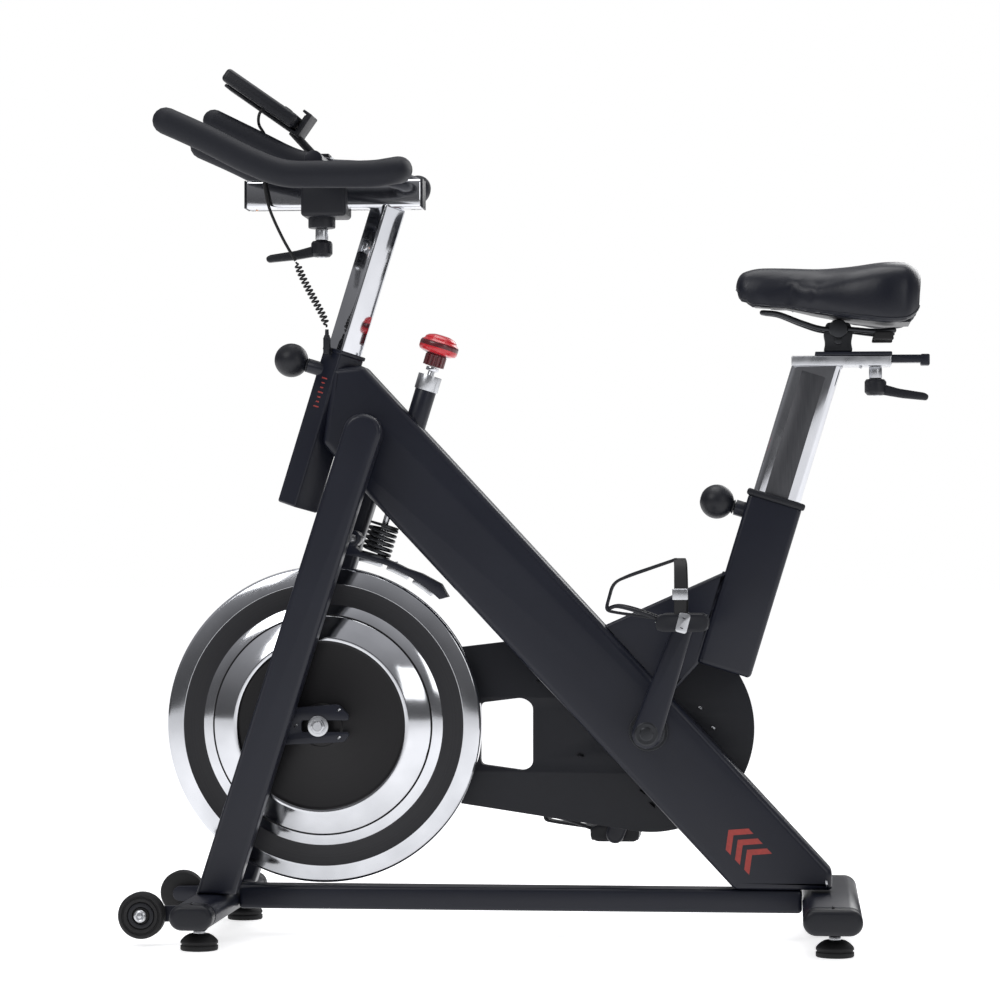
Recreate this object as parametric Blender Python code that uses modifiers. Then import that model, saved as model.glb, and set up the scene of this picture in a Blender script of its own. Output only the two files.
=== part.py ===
"""Indoor cycling bike: belt-driven flywheel, lever brake, sliding saddle and handlebar.

Metres, +Z up. The bike points along -X, the rider's left is -Y, the drive belt is on +Y.
The origin is on the floor under the middle of the whole bike.
"""
import math

import bmesh
import bpy
from mathutils import Matrix, Vector

# ---------------------------------------------------------------- driving dimensions
GAP = 0.0003                      # left between pieces that touch
LEAN = math.radians(17.0)         # both posts and the brake rod lean back by this angle
UP = Vector((math.sin(LEAN), 0.0, math.cos(LEAN)))
BACK = Vector((math.cos(LEAN), 0.0, -math.sin(LEAN)))

WHEEL_X, WHEEL_Z = -0.3055, 0.310          # flywheel axis
WHEEL_RADIUS = 0.232
CRANK_X, CRANK_Z = 0.1725, 0.303           # bottom bracket axis
CRANK_LENGTH = 0.170
CRANK_ANGLE = math.radians(71.0)           # left crank above the horizontal, to the rear
BIG_PULLEY_RADIUS = 0.1297
SMALL_PULLEY_RADIUS = 0.0355
BELT_THICKNESS = 0.003
BELT_Y, BELT_WIDTH = 0.049, 0.013

BEAM_WIDTH = 0.066
HEAD_TOP = Vector((-0.2765, 0.0, 0.858))
HEAD_LENGTH = 0.240
HEAD_WIDTH = 0.045                         # square tube turned on its edge
POST_WIDTH = 0.038
POST_FIT = 0.0005
SLIDE_TUBE_Z, SLIDE_TUBE_HEIGHT = 1.089, 0.042
SLIDE_TUBE_FRONT, SLIDE_TUBE_REAR = -0.4215, -0.1600

SEAT_TOP = Vector((0.3585, 0.0, 0.644))
SEAT_LENGTH = 0.265
SEAT_TUBE_SIZE = (0.080, 0.046)
SEAT_POST_SIZE = (0.070, 0.036)
SEAT_HEAD_BOTTOM, SEAT_HEAD_TOP = 0.8326, 0.8467

LEG_INNER_Y, LEG_OUTER_Y = 0.068, 0.106
LEG_WIDTH = 0.055
LEG_FOOT = Vector((-0.4500, 0.0, 0.0686))
LEG_HEAD = Vector((-0.2378, 0.0, 0.735))

FRONT_FOOT_X, REAR_FOOT_X = -0.4605, 0.4355
FRONT_BAR_SIZE = (0.062, 0.036)
REAR_BAR_SIZE = (0.083, 0.037)
FRONT_BAR_Z, REAR_BAR_Z = 0.050, 0.052
HALF_WIDTH = 0.250
CAP_LENGTH = 0.035
FOOT_Y = 0.197
FOOT_PLACES = {"front": -0.4565, "rear": 0.4385}
ROLLER_X, ROLLER_Z, ROLLER_Y, ROLLER_RADIUS = -0.5462, 0.044, 0.160, 0.0333

BRAKE_TOP = Vector((-0.1385, 0.0, 0.858))  # on the brake rod's axis
BRAKE_PIVOT = Vector((-0.262, 0.0, 0.583))
SADDLE_PIVOT = Vector((0.447, 0.0, 0.886))

FINISHES = {  # colour, roughness, metallic
    "paint": ((0.020, 0.021, 0.027), 0.42, 0.0),
    "plastic": ((0.014, 0.014, 0.016), 0.55, 0.0),
    "rubber": ((0.010, 0.010, 0.011), 0.80, 0.0),
    "foam": ((0.012, 0.012, 0.014), 0.90, 0.0),
    "vinyl": ((0.012, 0.013, 0.017), 0.45, 0.0),
    "chrome": ((0.75, 0.76, 0.78), 0.12, 1.0),
    "steel": ((0.42, 0.43, 0.45), 0.35, 1.0),
    "red": ((0.52, 0.010, 0.025), 0.35, 0.0),
    "screen": ((0.02, 0.03, 0.03), 0.10, 0.0),
}

for old in list(bpy.data.objects):
    bpy.data.objects.remove(old, do_unlink=True)
PARTS = bpy.data.collections.new("exercise_bike")
CUTTERS = bpy.data.collections.new("cutters")
for group in (PARTS, CUTTERS):
    bpy.context.scene.collection.children.link(group)


# ---------------------------------------------------------------- making shapes
def finish(obj, name):
    """Give the object its own coat."""
    colour, roughness, metallic = FINISHES[name]
    coat = bpy.data.materials.new(obj.name + "_" + name)
    coat.use_nodes = True
    shader = coat.node_tree.nodes["Principled BSDF"]
    shader.inputs["Base Color"].default_value = (*colour, 1.0)
    shader.inputs["Roughness"].default_value = roughness
    shader.inputs["Metallic"].default_value = metallic
    obj.data.materials.clear()
    obj.data.materials.append(coat)


def place(name, data, look, matrix=Matrix()):
    """Put mesh or curve data in the bike as a named object."""
    obj = bpy.data.objects.new(name, data)
    PARTS.objects.link(obj)
    obj.matrix_world = matrix
    finish(obj, look)
    return obj


def soften(obj, width, segments=1):
    """Round the edges."""
    bevel = obj.modifiers.new("bevel", "BEVEL")
    bevel.width = width
    bevel.segments = segments
    bevel.limit_method = "ANGLE"
    bevel.angle_limit = math.radians(35.0)
    return obj


def box(name, low, high, look, bevel=0.0, matrix=Matrix()):
    """A block between two corners, then moved by the matrix."""
    low, high = Vector(low), Vector(high)
    mesh = bpy.data.meshes.new(name)
    cage = bmesh.new()
    bmesh.ops.create_cube(cage, size=1.0)
    bmesh.ops.scale(cage, vec=high - low, verts=cage.verts)
    bmesh.ops.translate(cage, vec=(low + high) / 2, verts=cage.verts)
    cage.to_mesh(mesh)
    cage.free()
    obj = place(name, mesh, look, matrix)
    if bevel:
        soften(obj, bevel)
    return obj


def along(start, direction):
    """A matrix with its origin at start and its Z along the direction."""
    turn = Vector(direction).to_track_quat("Z", "Y").to_matrix().to_4x4()
    return Matrix.Translation(start) @ turn


def leaning(origin, turn=0.0):
    """A matrix whose Z runs up a post, turned about that post."""
    return Matrix.Translation(origin) @ Matrix.Rotation(LEAN, 4, "Y") @ Matrix.Rotation(turn, 4, "Z")


def rod(name, start, end, radius, look, sides=16):
    """A round bar between two points."""
    start, end = Vector(start), Vector(end)
    length = (end - start).length
    mesh = bpy.data.meshes.new(name)
    cage = bmesh.new()
    bmesh.ops.create_cone(cage, cap_ends=True, segments=sides, radius1=radius, radius2=radius, depth=length)
    bmesh.ops.translate(cage, vec=(0.0, 0.0, length / 2), verts=cage.verts)
    cage.to_mesh(mesh)
    cage.free()
    obj = place(name, mesh, look, along(start, end - start))
    smooth_round(mesh)
    return obj


def smooth_round(mesh):
    mesh.shade_smooth()
    mesh.set_sharp_from_angle(angle=math.radians(35.0))


def turned(name, profile, origin, direction, look, steps=16, closed=False):
    """A turned piece: (radius, height) points from the top down, spun about the direction."""
    mesh = bpy.data.meshes.new(name)
    points = [(radius, 0.0, height) for radius, height in profile]
    edges = [(i, i + 1) for i in range(len(points) - 1)]
    if closed:
        edges.append((len(points) - 1, 0))
    mesh.from_pydata(points, edges, [])
    obj = place(name, mesh, look, along(origin, direction))
    spin = obj.modifiers.new("spin", "SCREW")
    spin.steps = steps
    spin.render_steps = steps
    spin.use_merge_vertices = True
    spin.merge_threshold = 0.00002
    spin.use_smooth_shade = True
    return obj


def meshed(obj):
    """Turn a curve into one welded mesh object of the same name."""
    graph = bpy.context.evaluated_depsgraph_get()
    graph.update()
    mesh = bpy.data.meshes.new_from_object(obj.evaluated_get(graph))
    cage = bmesh.new()
    cage.from_mesh(mesh)
    bmesh.ops.remove_doubles(cage, verts=cage.verts, dist=0.00001)
    bmesh.ops.recalc_face_normals(cage, faces=cage.faces)
    cage.to_mesh(mesh)
    cage.free()
    name, matrix = obj.name, obj.matrix_world.copy()
    coats = list(obj.data.materials)
    bpy.data.objects.remove(obj, do_unlink=True)
    solid = bpy.data.objects.new(name, mesh)
    PARTS.objects.link(solid)
    solid.matrix_world = matrix
    mesh.materials.clear()
    for coat in coats:
        mesh.materials.append(coat)
    return solid


def plate(name, outlines, y_low, y_high, look, bevel=0.0):
    """A flat outline in X and Z, with any holes after it, as thick as the two Y values say."""
    curve = bpy.data.curves.new(name, "CURVE")
    curve.dimensions = "2D"
    curve.fill_mode = "BOTH"
    curve.extrude = (y_high - y_low) / 2
    for outline in outlines:
        spline = curve.splines.new("POLY")
        spline.points.add(len(outline) - 1)
        spline.use_cyclic_u = True
        for point, (x, z) in zip(spline.points, outline):
            point.co = (x, z, 0.0, 1.0)
    matrix = Matrix.Translation((0.0, (y_low + y_high) / 2, 0.0)) @ Matrix.Rotation(math.pi / 2, 4, "X")
    obj = meshed(place(name, curve, look, matrix))
    if bevel:
        soften(obj, bevel)
    return obj


def arc(x, z, radius, start, end, count):
    """Points on an arc, its angles in degrees from +X towards +Z."""
    angles = [math.radians(start + (end - start) * i / (count - 1)) for i in range(count)]
    return [(x + radius * math.cos(a), z + radius * math.sin(a)) for a in angles]


def circle(x, z, radius, count=24):
    return arc(x, z, radius, 0.0, 360.0 * (count - 1) / count, count)


def round_link(small, small_radius, big, big_radius, count=40):
    """The outline round two circles, each given by its (x, z) centre."""
    span, rise = big[0] - small[0], big[1] - small[1]
    tilt = math.degrees(math.atan2(rise, span))
    top = 90.0 + math.degrees(math.asin((big_radius - small_radius) / math.hypot(span, rise)))
    big_end = arc(*big, big_radius, tilt - top, tilt + top, count)
    small_end = arc(*small, small_radius, tilt + top, tilt + 360.0 - top, max(8, count // 2))
    return big_end + small_end


def smooth_path(points, per_span):
    """A smooth curve through the points, as (x, y, z) tuples."""
    knots = [Vector(p) for p in points]
    knots = [2 * knots[0] - knots[1]] + knots + [2 * knots[-1] - knots[-2]]
    path = []
    for i in range(1, len(knots) - 2):
        a, b, c, d = knots[i - 1:i + 3]
        for step in range(per_span):
            t = step / per_span
            path.append(((2 * b) + (c - a) * t + (2 * a - 5 * b + 4 * c - d) * t * t
                         + (3 * b - a - 3 * c + d) * t * t * t) / 2)
    path.append(knots[-2])
    return path


def tube(name, points, radius, look, per_span=3, sides_level=2):
    """A bent round bar or cord through the points."""
    curve = bpy.data.curves.new(name, "CURVE")
    curve.dimensions = "3D"
    curve.bevel_depth = radius
    curve.bevel_resolution = sides_level
    curve.use_fill_caps = True
    path = smooth_path(points, per_span)
    spline = curve.splines.new("POLY")
    spline.points.add(len(path) - 1)
    for point, place_at in zip(spline.points, path):
        point.co = (*place_at, 1.0)
    return meshed(place(name, curve, look))


def boolean(target, other, operation):
    modifier = target.modifiers.new(operation.lower(), "BOOLEAN")
    modifier.operation = operation
    modifier.object = other
    PARTS.objects.unlink(other)
    CUTTERS.objects.link(other)
    other.hide_render = True
    other.display_type = "WIRE"


def unite(target, *others):
    for other in others:
        boolean(target, other, "UNION")
    return target


def cut(target, *others):
    for other in others:
        boolean(target, other, "DIFFERENCE")
    return target


def pivot(name, origin, pieces):
    """An empty on a joint's axis that carries its pieces."""
    empty = bpy.data.objects.new(name, None)
    PARTS.objects.link(empty)
    empty.location = origin
    bpy.context.view_layer.update()
    for piece in pieces:
        piece.parent = empty
        piece.matrix_parent_inverse = empty.matrix_world.inverted()
    return empty


def hole(name, start, end, radius, sides=16):
    return rod(name, start, end, radius, "steel", sides)


# ---------------------------------------------------------------- frame
def on_axis(top, along_up, along_back=0.0, y=0.0):
    """A point measured from the top of a sleeve, up its axis and square to it."""
    return top + UP * along_up + BACK * along_back + Vector((0.0, y, 0.0))


def make_frame():
    """The welded tubes: main beam, two sleeves, gusset, fork legs and floor rail."""
    half = BEAM_WIDTH / 2
    side = [(-0.2455, 0.836), (-0.2900, 0.832), (-0.3050, 0.722), (-0.2385, 0.645), (0.2965, 0.0746),
            (0.4370, 0.0746), (0.4370, 0.1020)]
    beam = plate("main_beam", [side], -half, half, "paint", bevel=0.010)
    crown_y = LEG_INNER_Y - GAP
    crown = rod("crown", (LEG_HEAD.x, -crown_y, LEG_HEAD.z), (LEG_HEAD.x, crown_y, LEG_HEAD.z), 0.023, "paint")
    guide = rod("guide", BRAKE_TOP - UP * 0.200, BRAKE_TOP - UP * 0.0376, 0.016, "paint")
    head_seat = box("head_seat", (-0.0228, -0.0228, -0.250), (0.0228, 0.0228, 0.020), "steel",
                    matrix=leaning(HEAD_TOP, math.pi / 4))
    unite(beam, crown, guide)
    cut(beam, head_seat, hole("guide_bore", BRAKE_TOP - UP * 0.330, BRAKE_TOP, 0.0056),
        hole("crank_bore", (CRANK_X, -0.060, CRANK_Z), (CRANK_X, 0.060, CRANK_Z), 0.0203, 32))

    outer, inner = HEAD_WIDTH / 2, POST_WIDTH / 2 + POST_FIT
    turn = leaning(HEAD_TOP, math.pi / 4)
    head = box("head_tube", (-outer, -outer, -HEAD_LENGTH), (outer, outer, -0.004), "paint", 0.002, turn)
    lip = box("head_lip", (-0.0235, -0.0235, -0.006), (0.0235, 0.0235, 0.0), "paint", matrix=turn)
    boss = rod("head_boss", on_axis(HEAD_TOP, -0.035, -0.025), on_axis(HEAD_TOP, -0.035, -0.046), 0.0105, "paint")
    bore = box("head_bore", (-inner, -inner, -0.300), (inner, inner, 0.050), "steel", matrix=turn)
    pin_hole = hole("head_pin_hole", on_axis(HEAD_TOP, -0.035, -0.010), on_axis(HEAD_TOP, -0.035, -0.060), 0.0054)
    cut(unite(head, boss, lip), bore, pin_hole)
    cut(beam, box("lip_seat", (-0.0238, -0.0238, -0.008), (0.0238, 0.0238, 0.030), "steel", matrix=turn))

    long, wide = SEAT_TUBE_SIZE[0] / 2, SEAT_TUBE_SIZE[1] / 2
    inner_long, inner_wide = SEAT_POST_SIZE[0] / 2 + POST_FIT, SEAT_POST_SIZE[1] / 2 + POST_FIT
    seat_frame = leaning(SEAT_TOP)
    seat = box("seat_tube", (-long, -wide, -SEAT_LENGTH), (long, wide, -0.006), "paint", 0.006, seat_frame)
    lip = box("seat_lip", (-0.0435, -0.0260, -0.010), (0.0435, 0.0260, 0.0), "plastic", 0.004, seat_frame)
    boss = rod("seat_boss", on_axis(SEAT_TOP, -0.033, -0.036), on_axis(SEAT_TOP, -0.033, -0.054), 0.0115, "paint")
    bore = box("seat_bore", (-inner_long, -inner_wide, -0.320), (inner_long, inner_wide, 0.050), "steel",
               matrix=seat_frame)
    pin_hole = hole("seat_pin_hole", on_axis(SEAT_TOP, -0.033, -0.020), on_axis(SEAT_TOP, -0.033, -0.070), 0.0054)
    cut(unite(seat, lip, boss), bore, pin_hole)

    gusset_side = [(0.1060, 0.4562), (0.2920, 0.5360), (0.2520, 0.3980), (0.2010, 0.3530)]
    gusset = plate("seat_gusset", [gusset_side], -0.021, 0.021, "paint", 0.005)
    seat_clear = box("seat_clear", (-long - GAP, -0.060, -0.300), (0.200, 0.060, 0.050), "steel",
                     matrix=seat_frame)
    beam_clear = plate("beam_clear", [[(-0.2455, 0.836 + 0.0005), (0.437, 0.1023), (0.2, 0.05), (-0.25, 0.5)]],
                       -0.060, 0.060, "steel")
    cut(gusset, seat_clear, beam_clear)

    rail = box("floor_rail", (FRONT_FOOT_X + FRONT_BAR_SIZE[0] / 2 + GAP, -0.025, 0.040),
               (REAR_FOOT_X - REAR_BAR_SIZE[0] / 2 - GAP, 0.025, 0.0743), "paint", 0.005)
    return [beam, head, seat, gusset, rail, *make_fork()]


def make_fork():
    """Two legs, each with the slotted plate that holds the flywheel axle."""
    run = (LEG_HEAD - LEG_FOOT).normalized()
    across = Vector((run.z, 0.0, -run.x)) * LEG_WIDTH / 2
    slope = math.degrees(math.atan2(run.z, run.x))
    foot_shift = LEG_WIDTH / 2 / run.z
    side = [(LEG_FOOT.x - foot_shift, LEG_FOOT.z), (LEG_FOOT.x + foot_shift, LEG_FOOT.z)]
    side += [(LEG_HEAD.x + across.x, LEG_HEAD.z + across.z)]
    side += arc(LEG_HEAD.x, LEG_HEAD.z, LEG_WIDTH / 2, slope - 70.0, slope + 70.0, 6)
    side += [(LEG_HEAD.x - across.x, LEG_HEAD.z - across.z)]
    slot = 0.0085
    dropout = [(-0.3950, 0.2810), (-0.2680, 0.2870), (-0.2610, 0.2960), (-0.2610, WHEEL_Z - slot),
               (-0.3300, WHEEL_Z - slot), (-0.3300, WHEEL_Z + slot), (-0.2610, WHEEL_Z + slot),
               (-0.2610, 0.3270), (-0.2760, 0.3420), (-0.3880, 0.3330)]
    legs = []
    for name, sign in (("left", -1), ("right", 1)):
        low, high = sorted((sign * LEG_INNER_Y, sign * LEG_OUTER_Y))
        leg = plate("fork_leg_" + name, [side], low, high, "paint", 0.006)
        low, high = sorted((sign * 0.0617, sign * (LEG_INNER_Y + 0.001)))
        legs.append(unite(leg, plate("dropout_" + name, [dropout], low, high, "paint")))
    return legs


def make_floor_bars():
    """Stabiliser bars with end caps; the front one carries the two roller arms."""
    pieces = []
    bars = (("front", FRONT_FOOT_X, FRONT_BAR_Z, FRONT_BAR_SIZE), ("rear", REAR_FOOT_X, REAR_BAR_Z, REAR_BAR_SIZE))
    bar_end = HALF_WIDTH - CAP_LENGTH
    for name, x, z, (width, height) in bars:
        radius = height / 2
        reach = width / 2 - radius
        side = arc(x + reach, z, radius, -90.0, 90.0, 7) + arc(x - reach, z, radius, 90.0, 270.0, 7)
        bar = plate(name + "_stabilizer", [side], -bar_end + GAP, bar_end - GAP, "paint")
        for sign in (-1, 1):
            foot_x, foot_y = FOOT_PLACES[name], sign * FOOT_Y
            cut(bar, hole(f"{name}_foot_hole_{sign}", (foot_x, foot_y, z - 0.030), (foot_x, foot_y, z + 0.008), 0.0056))
            if name == "front":
                arm_y = sign * (ROLLER_Y - 0.020)
                arm = box(f"roller_arm_{sign}", (ROLLER_X - 0.011, arm_y - 0.004, ROLLER_Z - 0.010),
                          (x - 0.012, arm_y + 0.004, ROLLER_Z + 0.012), "paint")
                axle = rod(f"roller_axle_{sign}", (ROLLER_X, arm_y, ROLLER_Z),
                           (ROLLER_X, sign * (ROLLER_Y + 0.013), ROLLER_Z), 0.005, "steel")
                head = rod(f"roller_bolt_{sign}", (ROLLER_X, sign * (ROLLER_Y + 0.0125), ROLLER_Z),
                           (ROLLER_X, sign * (ROLLER_Y + 0.018), ROLLER_Z), 0.009, "steel")
                unite(bar, arm, axle, head)
            low, high = sorted((sign * bar_end, sign * HALF_WIDTH))
            side_name = "left" if sign < 0 else "right"
            pieces.append(plate(f"{name}_cap_{side_name}", [side], low, high, "plastic", 0.009))
        pieces.append(bar)
    return pieces


def make_feet():
    """Four screw feet, each turning on its own stud."""
    profile = [(0.0, 0.052), (0.0048, 0.052), (0.0048, 0.0245), (0.012, 0.0240), (0.0235, 0.0185), (0.0265, 0.0150),
               (0.0268, 0.0030), (0.0255, 0.0), (0.0, 0.0)]
    for end, x in FOOT_PLACES.items():
        for side, sign in (("left", -1), ("right", 1)):
            origin = Vector((x, sign * FOOT_Y, 0.0))
            foot = turned(f"levelling_foot_{end}_{side}", profile, origin, (0, 0, 1), "rubber")
            pivot(f"foot_{end}_{side}_pivot", origin, [foot])


def make_rollers():
    """Two transport rollers on the front bar."""
    profile = [(0.0056, 0.010), (0.026, 0.010), (0.030, 0.012), (ROLLER_RADIUS, 0.008), (ROLLER_RADIUS, -0.008),
               (0.030, -0.012), (0.0056, -0.012)]
    for side, sign in (("left", -1), ("right", 1)):
        origin = Vector((ROLLER_X, sign * ROLLER_Y, ROLLER_Z))
        roller = turned("transport_wheel_" + side, profile, origin, (0, sign, 0), "rubber", 20, closed=True)
        pivot(f"transport_wheel_{side}_pivot", origin, [roller])


# ---------------------------------------------------------------- drive
def make_drive_cover():
    """The two-part guard round the belt, the belt itself, the axle and the bottom bracket."""
    window = [(-0.0790, 0.2490), (-0.0130, 0.2400), (-0.0010, 0.2490), (-0.0010, 0.3380), (-0.0160, 0.3480),
              (-0.0790, 0.3400)]
    small, big = (WHEEL_X, WHEEL_Z), (CRANK_X, CRANK_Z)
    outline = round_link(small, 0.088, big, 0.1520, 26)
    crank_hole, axle_hole = circle(*big, 0.0240, 16), circle(*small, 0.0300, 16)
    back = plate("guard_inner", [outline, window, crank_hole, axle_hole], 0.0363, 0.0388, "plastic")
    cover = plate("guard_outer", [outline, window], 0.0391, 0.0612, "plastic")
    room = round_link(small, 0.0855, big, 0.1495, 26)
    window_wall = [(-0.0815, 0.2465), (-0.0130, 0.2373), (0.0015, 0.2475), (0.0015, 0.3395), (-0.0155, 0.3506),
                   (-0.0815, 0.3423)]
    cut(cover, plate("guard_room", [room, window_wall], 0.0300, 0.0587, "steel"),
        hole("guard_crank_hole", (CRANK_X, 0.030, CRANK_Z), (CRANK_X, 0.070, CRANK_Z), 0.0240, 16),
        hole("guard_axle_hole", (WHEEL_X, 0.030, WHEEL_Z), (WHEEL_X, 0.070, WHEEL_Z), 0.0150, 16))
    line_inside = round_link(small, SMALL_PULLEY_RADIUS + 0.0008, big, BIG_PULLEY_RADIUS + 0.0006, 28)
    line_outside = round_link(small, SMALL_PULLEY_RADIUS + 0.0008 + BELT_THICKNESS, big,
                              BIG_PULLEY_RADIUS + 0.0006 + BELT_THICKNESS, 28)
    plate("drive_belt", [line_outside, line_inside], BELT_Y - BELT_WIDTH / 2, BELT_Y + BELT_WIDTH / 2, "rubber")
    axle_profile = [(0.0, 0.080), (0.007, 0.080), (0.007, 0.0772), (0.011, 0.0772), (0.011, 0.0693), (0.007, 0.0693),
                    (0.007, -0.0693), (0.011, -0.0693), (0.011, -0.0772), (0.007, -0.0772), (0.007, -0.080),
                    (0.0, -0.080)]
    turned("flywheel_axle", axle_profile, (WHEEL_X, 0.0, WHEEL_Z), (0, -1, 0), "steel", 12)
    shell = [(0.0104, 0.0390), (0.0285, 0.0390), (0.0285, 0.0333), (0.0200, 0.0333), (0.0200, -0.0333),
             (0.0104, -0.0333)]
    turned("bottom_bracket", shell, (CRANK_X, 0.0, CRANK_Z), (0, -1, 0), "steel", 20, closed=True)


def make_flywheel():
    """The heavy wheel, dished out towards the rider's left, and its belt wheel."""
    near = [(0.0078, 0.0400), (0.0300, 0.0400), (0.0320, 0.0370), (0.1230, 0.0370), (0.1235, 0.0420), (0.1290, 0.0420),
            (0.1595, 0.0262), (0.1608, 0.0240), (0.1622, 0.0252), (0.1760, 0.0180), (0.2070, 0.0180),
            (0.2300, 0.0120), (WHEEL_RADIUS, 0.0100)]
    far = [(WHEEL_RADIUS, -0.0100), (0.2070, -0.0180), (0.0600, -0.0180), (0.0300, -0.0260), (0.0078, -0.0260)]
    origin = Vector((WHEEL_X, 0.0, WHEEL_Z))
    wheel = turned("flywheel", near + far, origin, (0, -1, 0), "chrome", 32, closed=True)
    pulley_profile = [(0.0078, -0.0263), (0.0220, -0.0263), (0.0220, -0.0415), (SMALL_PULLEY_RADIUS, -0.0415),
                      (SMALL_PULLEY_RADIUS, -0.0565), (0.0078, -0.0565)]
    pulley = turned("flywheel_pulley", pulley_profile, origin, (0, -1, 0), "steel", 20, closed=True)
    pivot("flywheel_pivot", origin, [wheel, pulley])


def make_crankset():
    """Belt wheel on the crank spindle, two cranks, two pedals with toe cages."""
    origin = Vector((CRANK_X, 0.0, CRANK_Z))
    spindle = 0.0100
    wheel_profile = [(0.0, 0.104), (spindle, 0.104), (spindle, -0.0415), (0.0220, -0.0415), (0.0220, -0.0470),
                     (0.1180, -0.0470), (0.1180, -0.0420), (BIG_PULLEY_RADIUS, -0.0420),
                     (BIG_PULLEY_RADIUS, -0.0560), (0.1180, -0.0560), (0.1180, -0.0510), (0.0220, -0.0510),
                     (0.0220, -0.0600), (spindle, -0.0600), (spindle, -0.104), (0.0, -0.104)]
    pulley = turned("crank_pulley", wheel_profile, origin, (0, -1, 0), "steel", 28)
    pieces = [pulley]
    for side, sign, hub_y in (("left", -1, 0.0420), ("right", 1, 0.0640)):
        reach = Vector((math.cos(CRANK_ANGLE), 0.0, math.sin(CRANK_ANGLE))) * CRANK_LENGTH * -sign
        end = origin + reach
        outline = round_link((end.x, end.z), 0.0135, (CRANK_X, CRANK_Z), 0.0215, 10)
        low, high = sorted((sign * 0.0900, sign * 0.1060))
        crank = plate("crank_" + side, [outline], low, high, "paint", 0.004)
        unite(crank, rod("crank_hub_" + side, (CRANK_X, sign * hub_y, CRANK_Z), (CRANK_X, sign * 0.0950, CRANK_Z),
                         0.0200, "paint", 16))
        spindle_hole = hole("spindle_hole_" + side, (CRANK_X, sign * 0.030, CRANK_Z),
                            (CRANK_X, sign * 0.120, CRANK_Z), spindle + GAP + 0.0002, 16)
        cut(crank, spindle_hole)
        axle = rod("pedal_axle_" + side, (end.x, sign * 0.1040, end.z), (end.x, sign * 0.1960, end.z), 0.0055, "steel")
        unite(crank, axle)
        pieces.append(crank)
        make_pedal(side, sign, end)
    pivot("crank_pivot", origin, pieces)


def make_pedal(side, sign, end):
    """A platform with a toe clip in front and a strap over the shoe."""
    inner, outer = sign * 0.1130, sign * 0.2060
    low, high = sorted((inner, outer))
    x, z = end.x, end.z
    body = box("pedal_" + side, (x - 0.0380, low, z - 0.0125), (x + 0.0350, high, z + 0.0125), "plastic", 0.003)
    band = 0.0035
    outer_line = [(x - 0.0330, z + 0.0020), (x - 0.0900, z + 0.0105), (x - 0.1128, z + 0.0145),
                  (x - 0.1015, z + 0.0570), (x - 0.0775, z + 0.0685), (x - 0.0100, z + 0.0915)]
    inner_line = [(x - 0.0100, z + 0.0915 - band), (x - 0.0760, z + 0.0685 - band),
                  (x - 0.0980, z + 0.0550), (x - 0.1080, z + 0.0180), (x - 0.0900, z + 0.0140),
                  (x - 0.0330, z + 0.0020 + band)]
    middle = (inner + outer) / 2
    clip = plate("toe_clip_" + side, [outer_line + inner_line], middle - 0.014, middle + 0.014, "plastic")
    strap_path = [(x - 0.0038, low + 0.002, z + 0.006), (x - 0.0038, low + 0.002, z + 0.045),
                  (x - 0.0045, low + 0.018, z + 0.082), (x - 0.0060, middle, z + 0.0905),
                  (x - 0.0045, high - 0.018, z + 0.082), (x - 0.0038, high - 0.002, z + 0.045),
                  (x - 0.0038, high - 0.002, z + 0.006)]
    strap = tube("toe_strap_" + side, strap_path, 0.0040, "plastic", 2, 1)
    unite(body, clip, strap)
    bore = hole("pedal_bore_" + side, (x, sign * 0.100, z), (x, sign * 0.199, z), 0.0060)
    cut(body, bore)
    pivot(f"pedal_{side}_pivot", end, [body])


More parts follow.
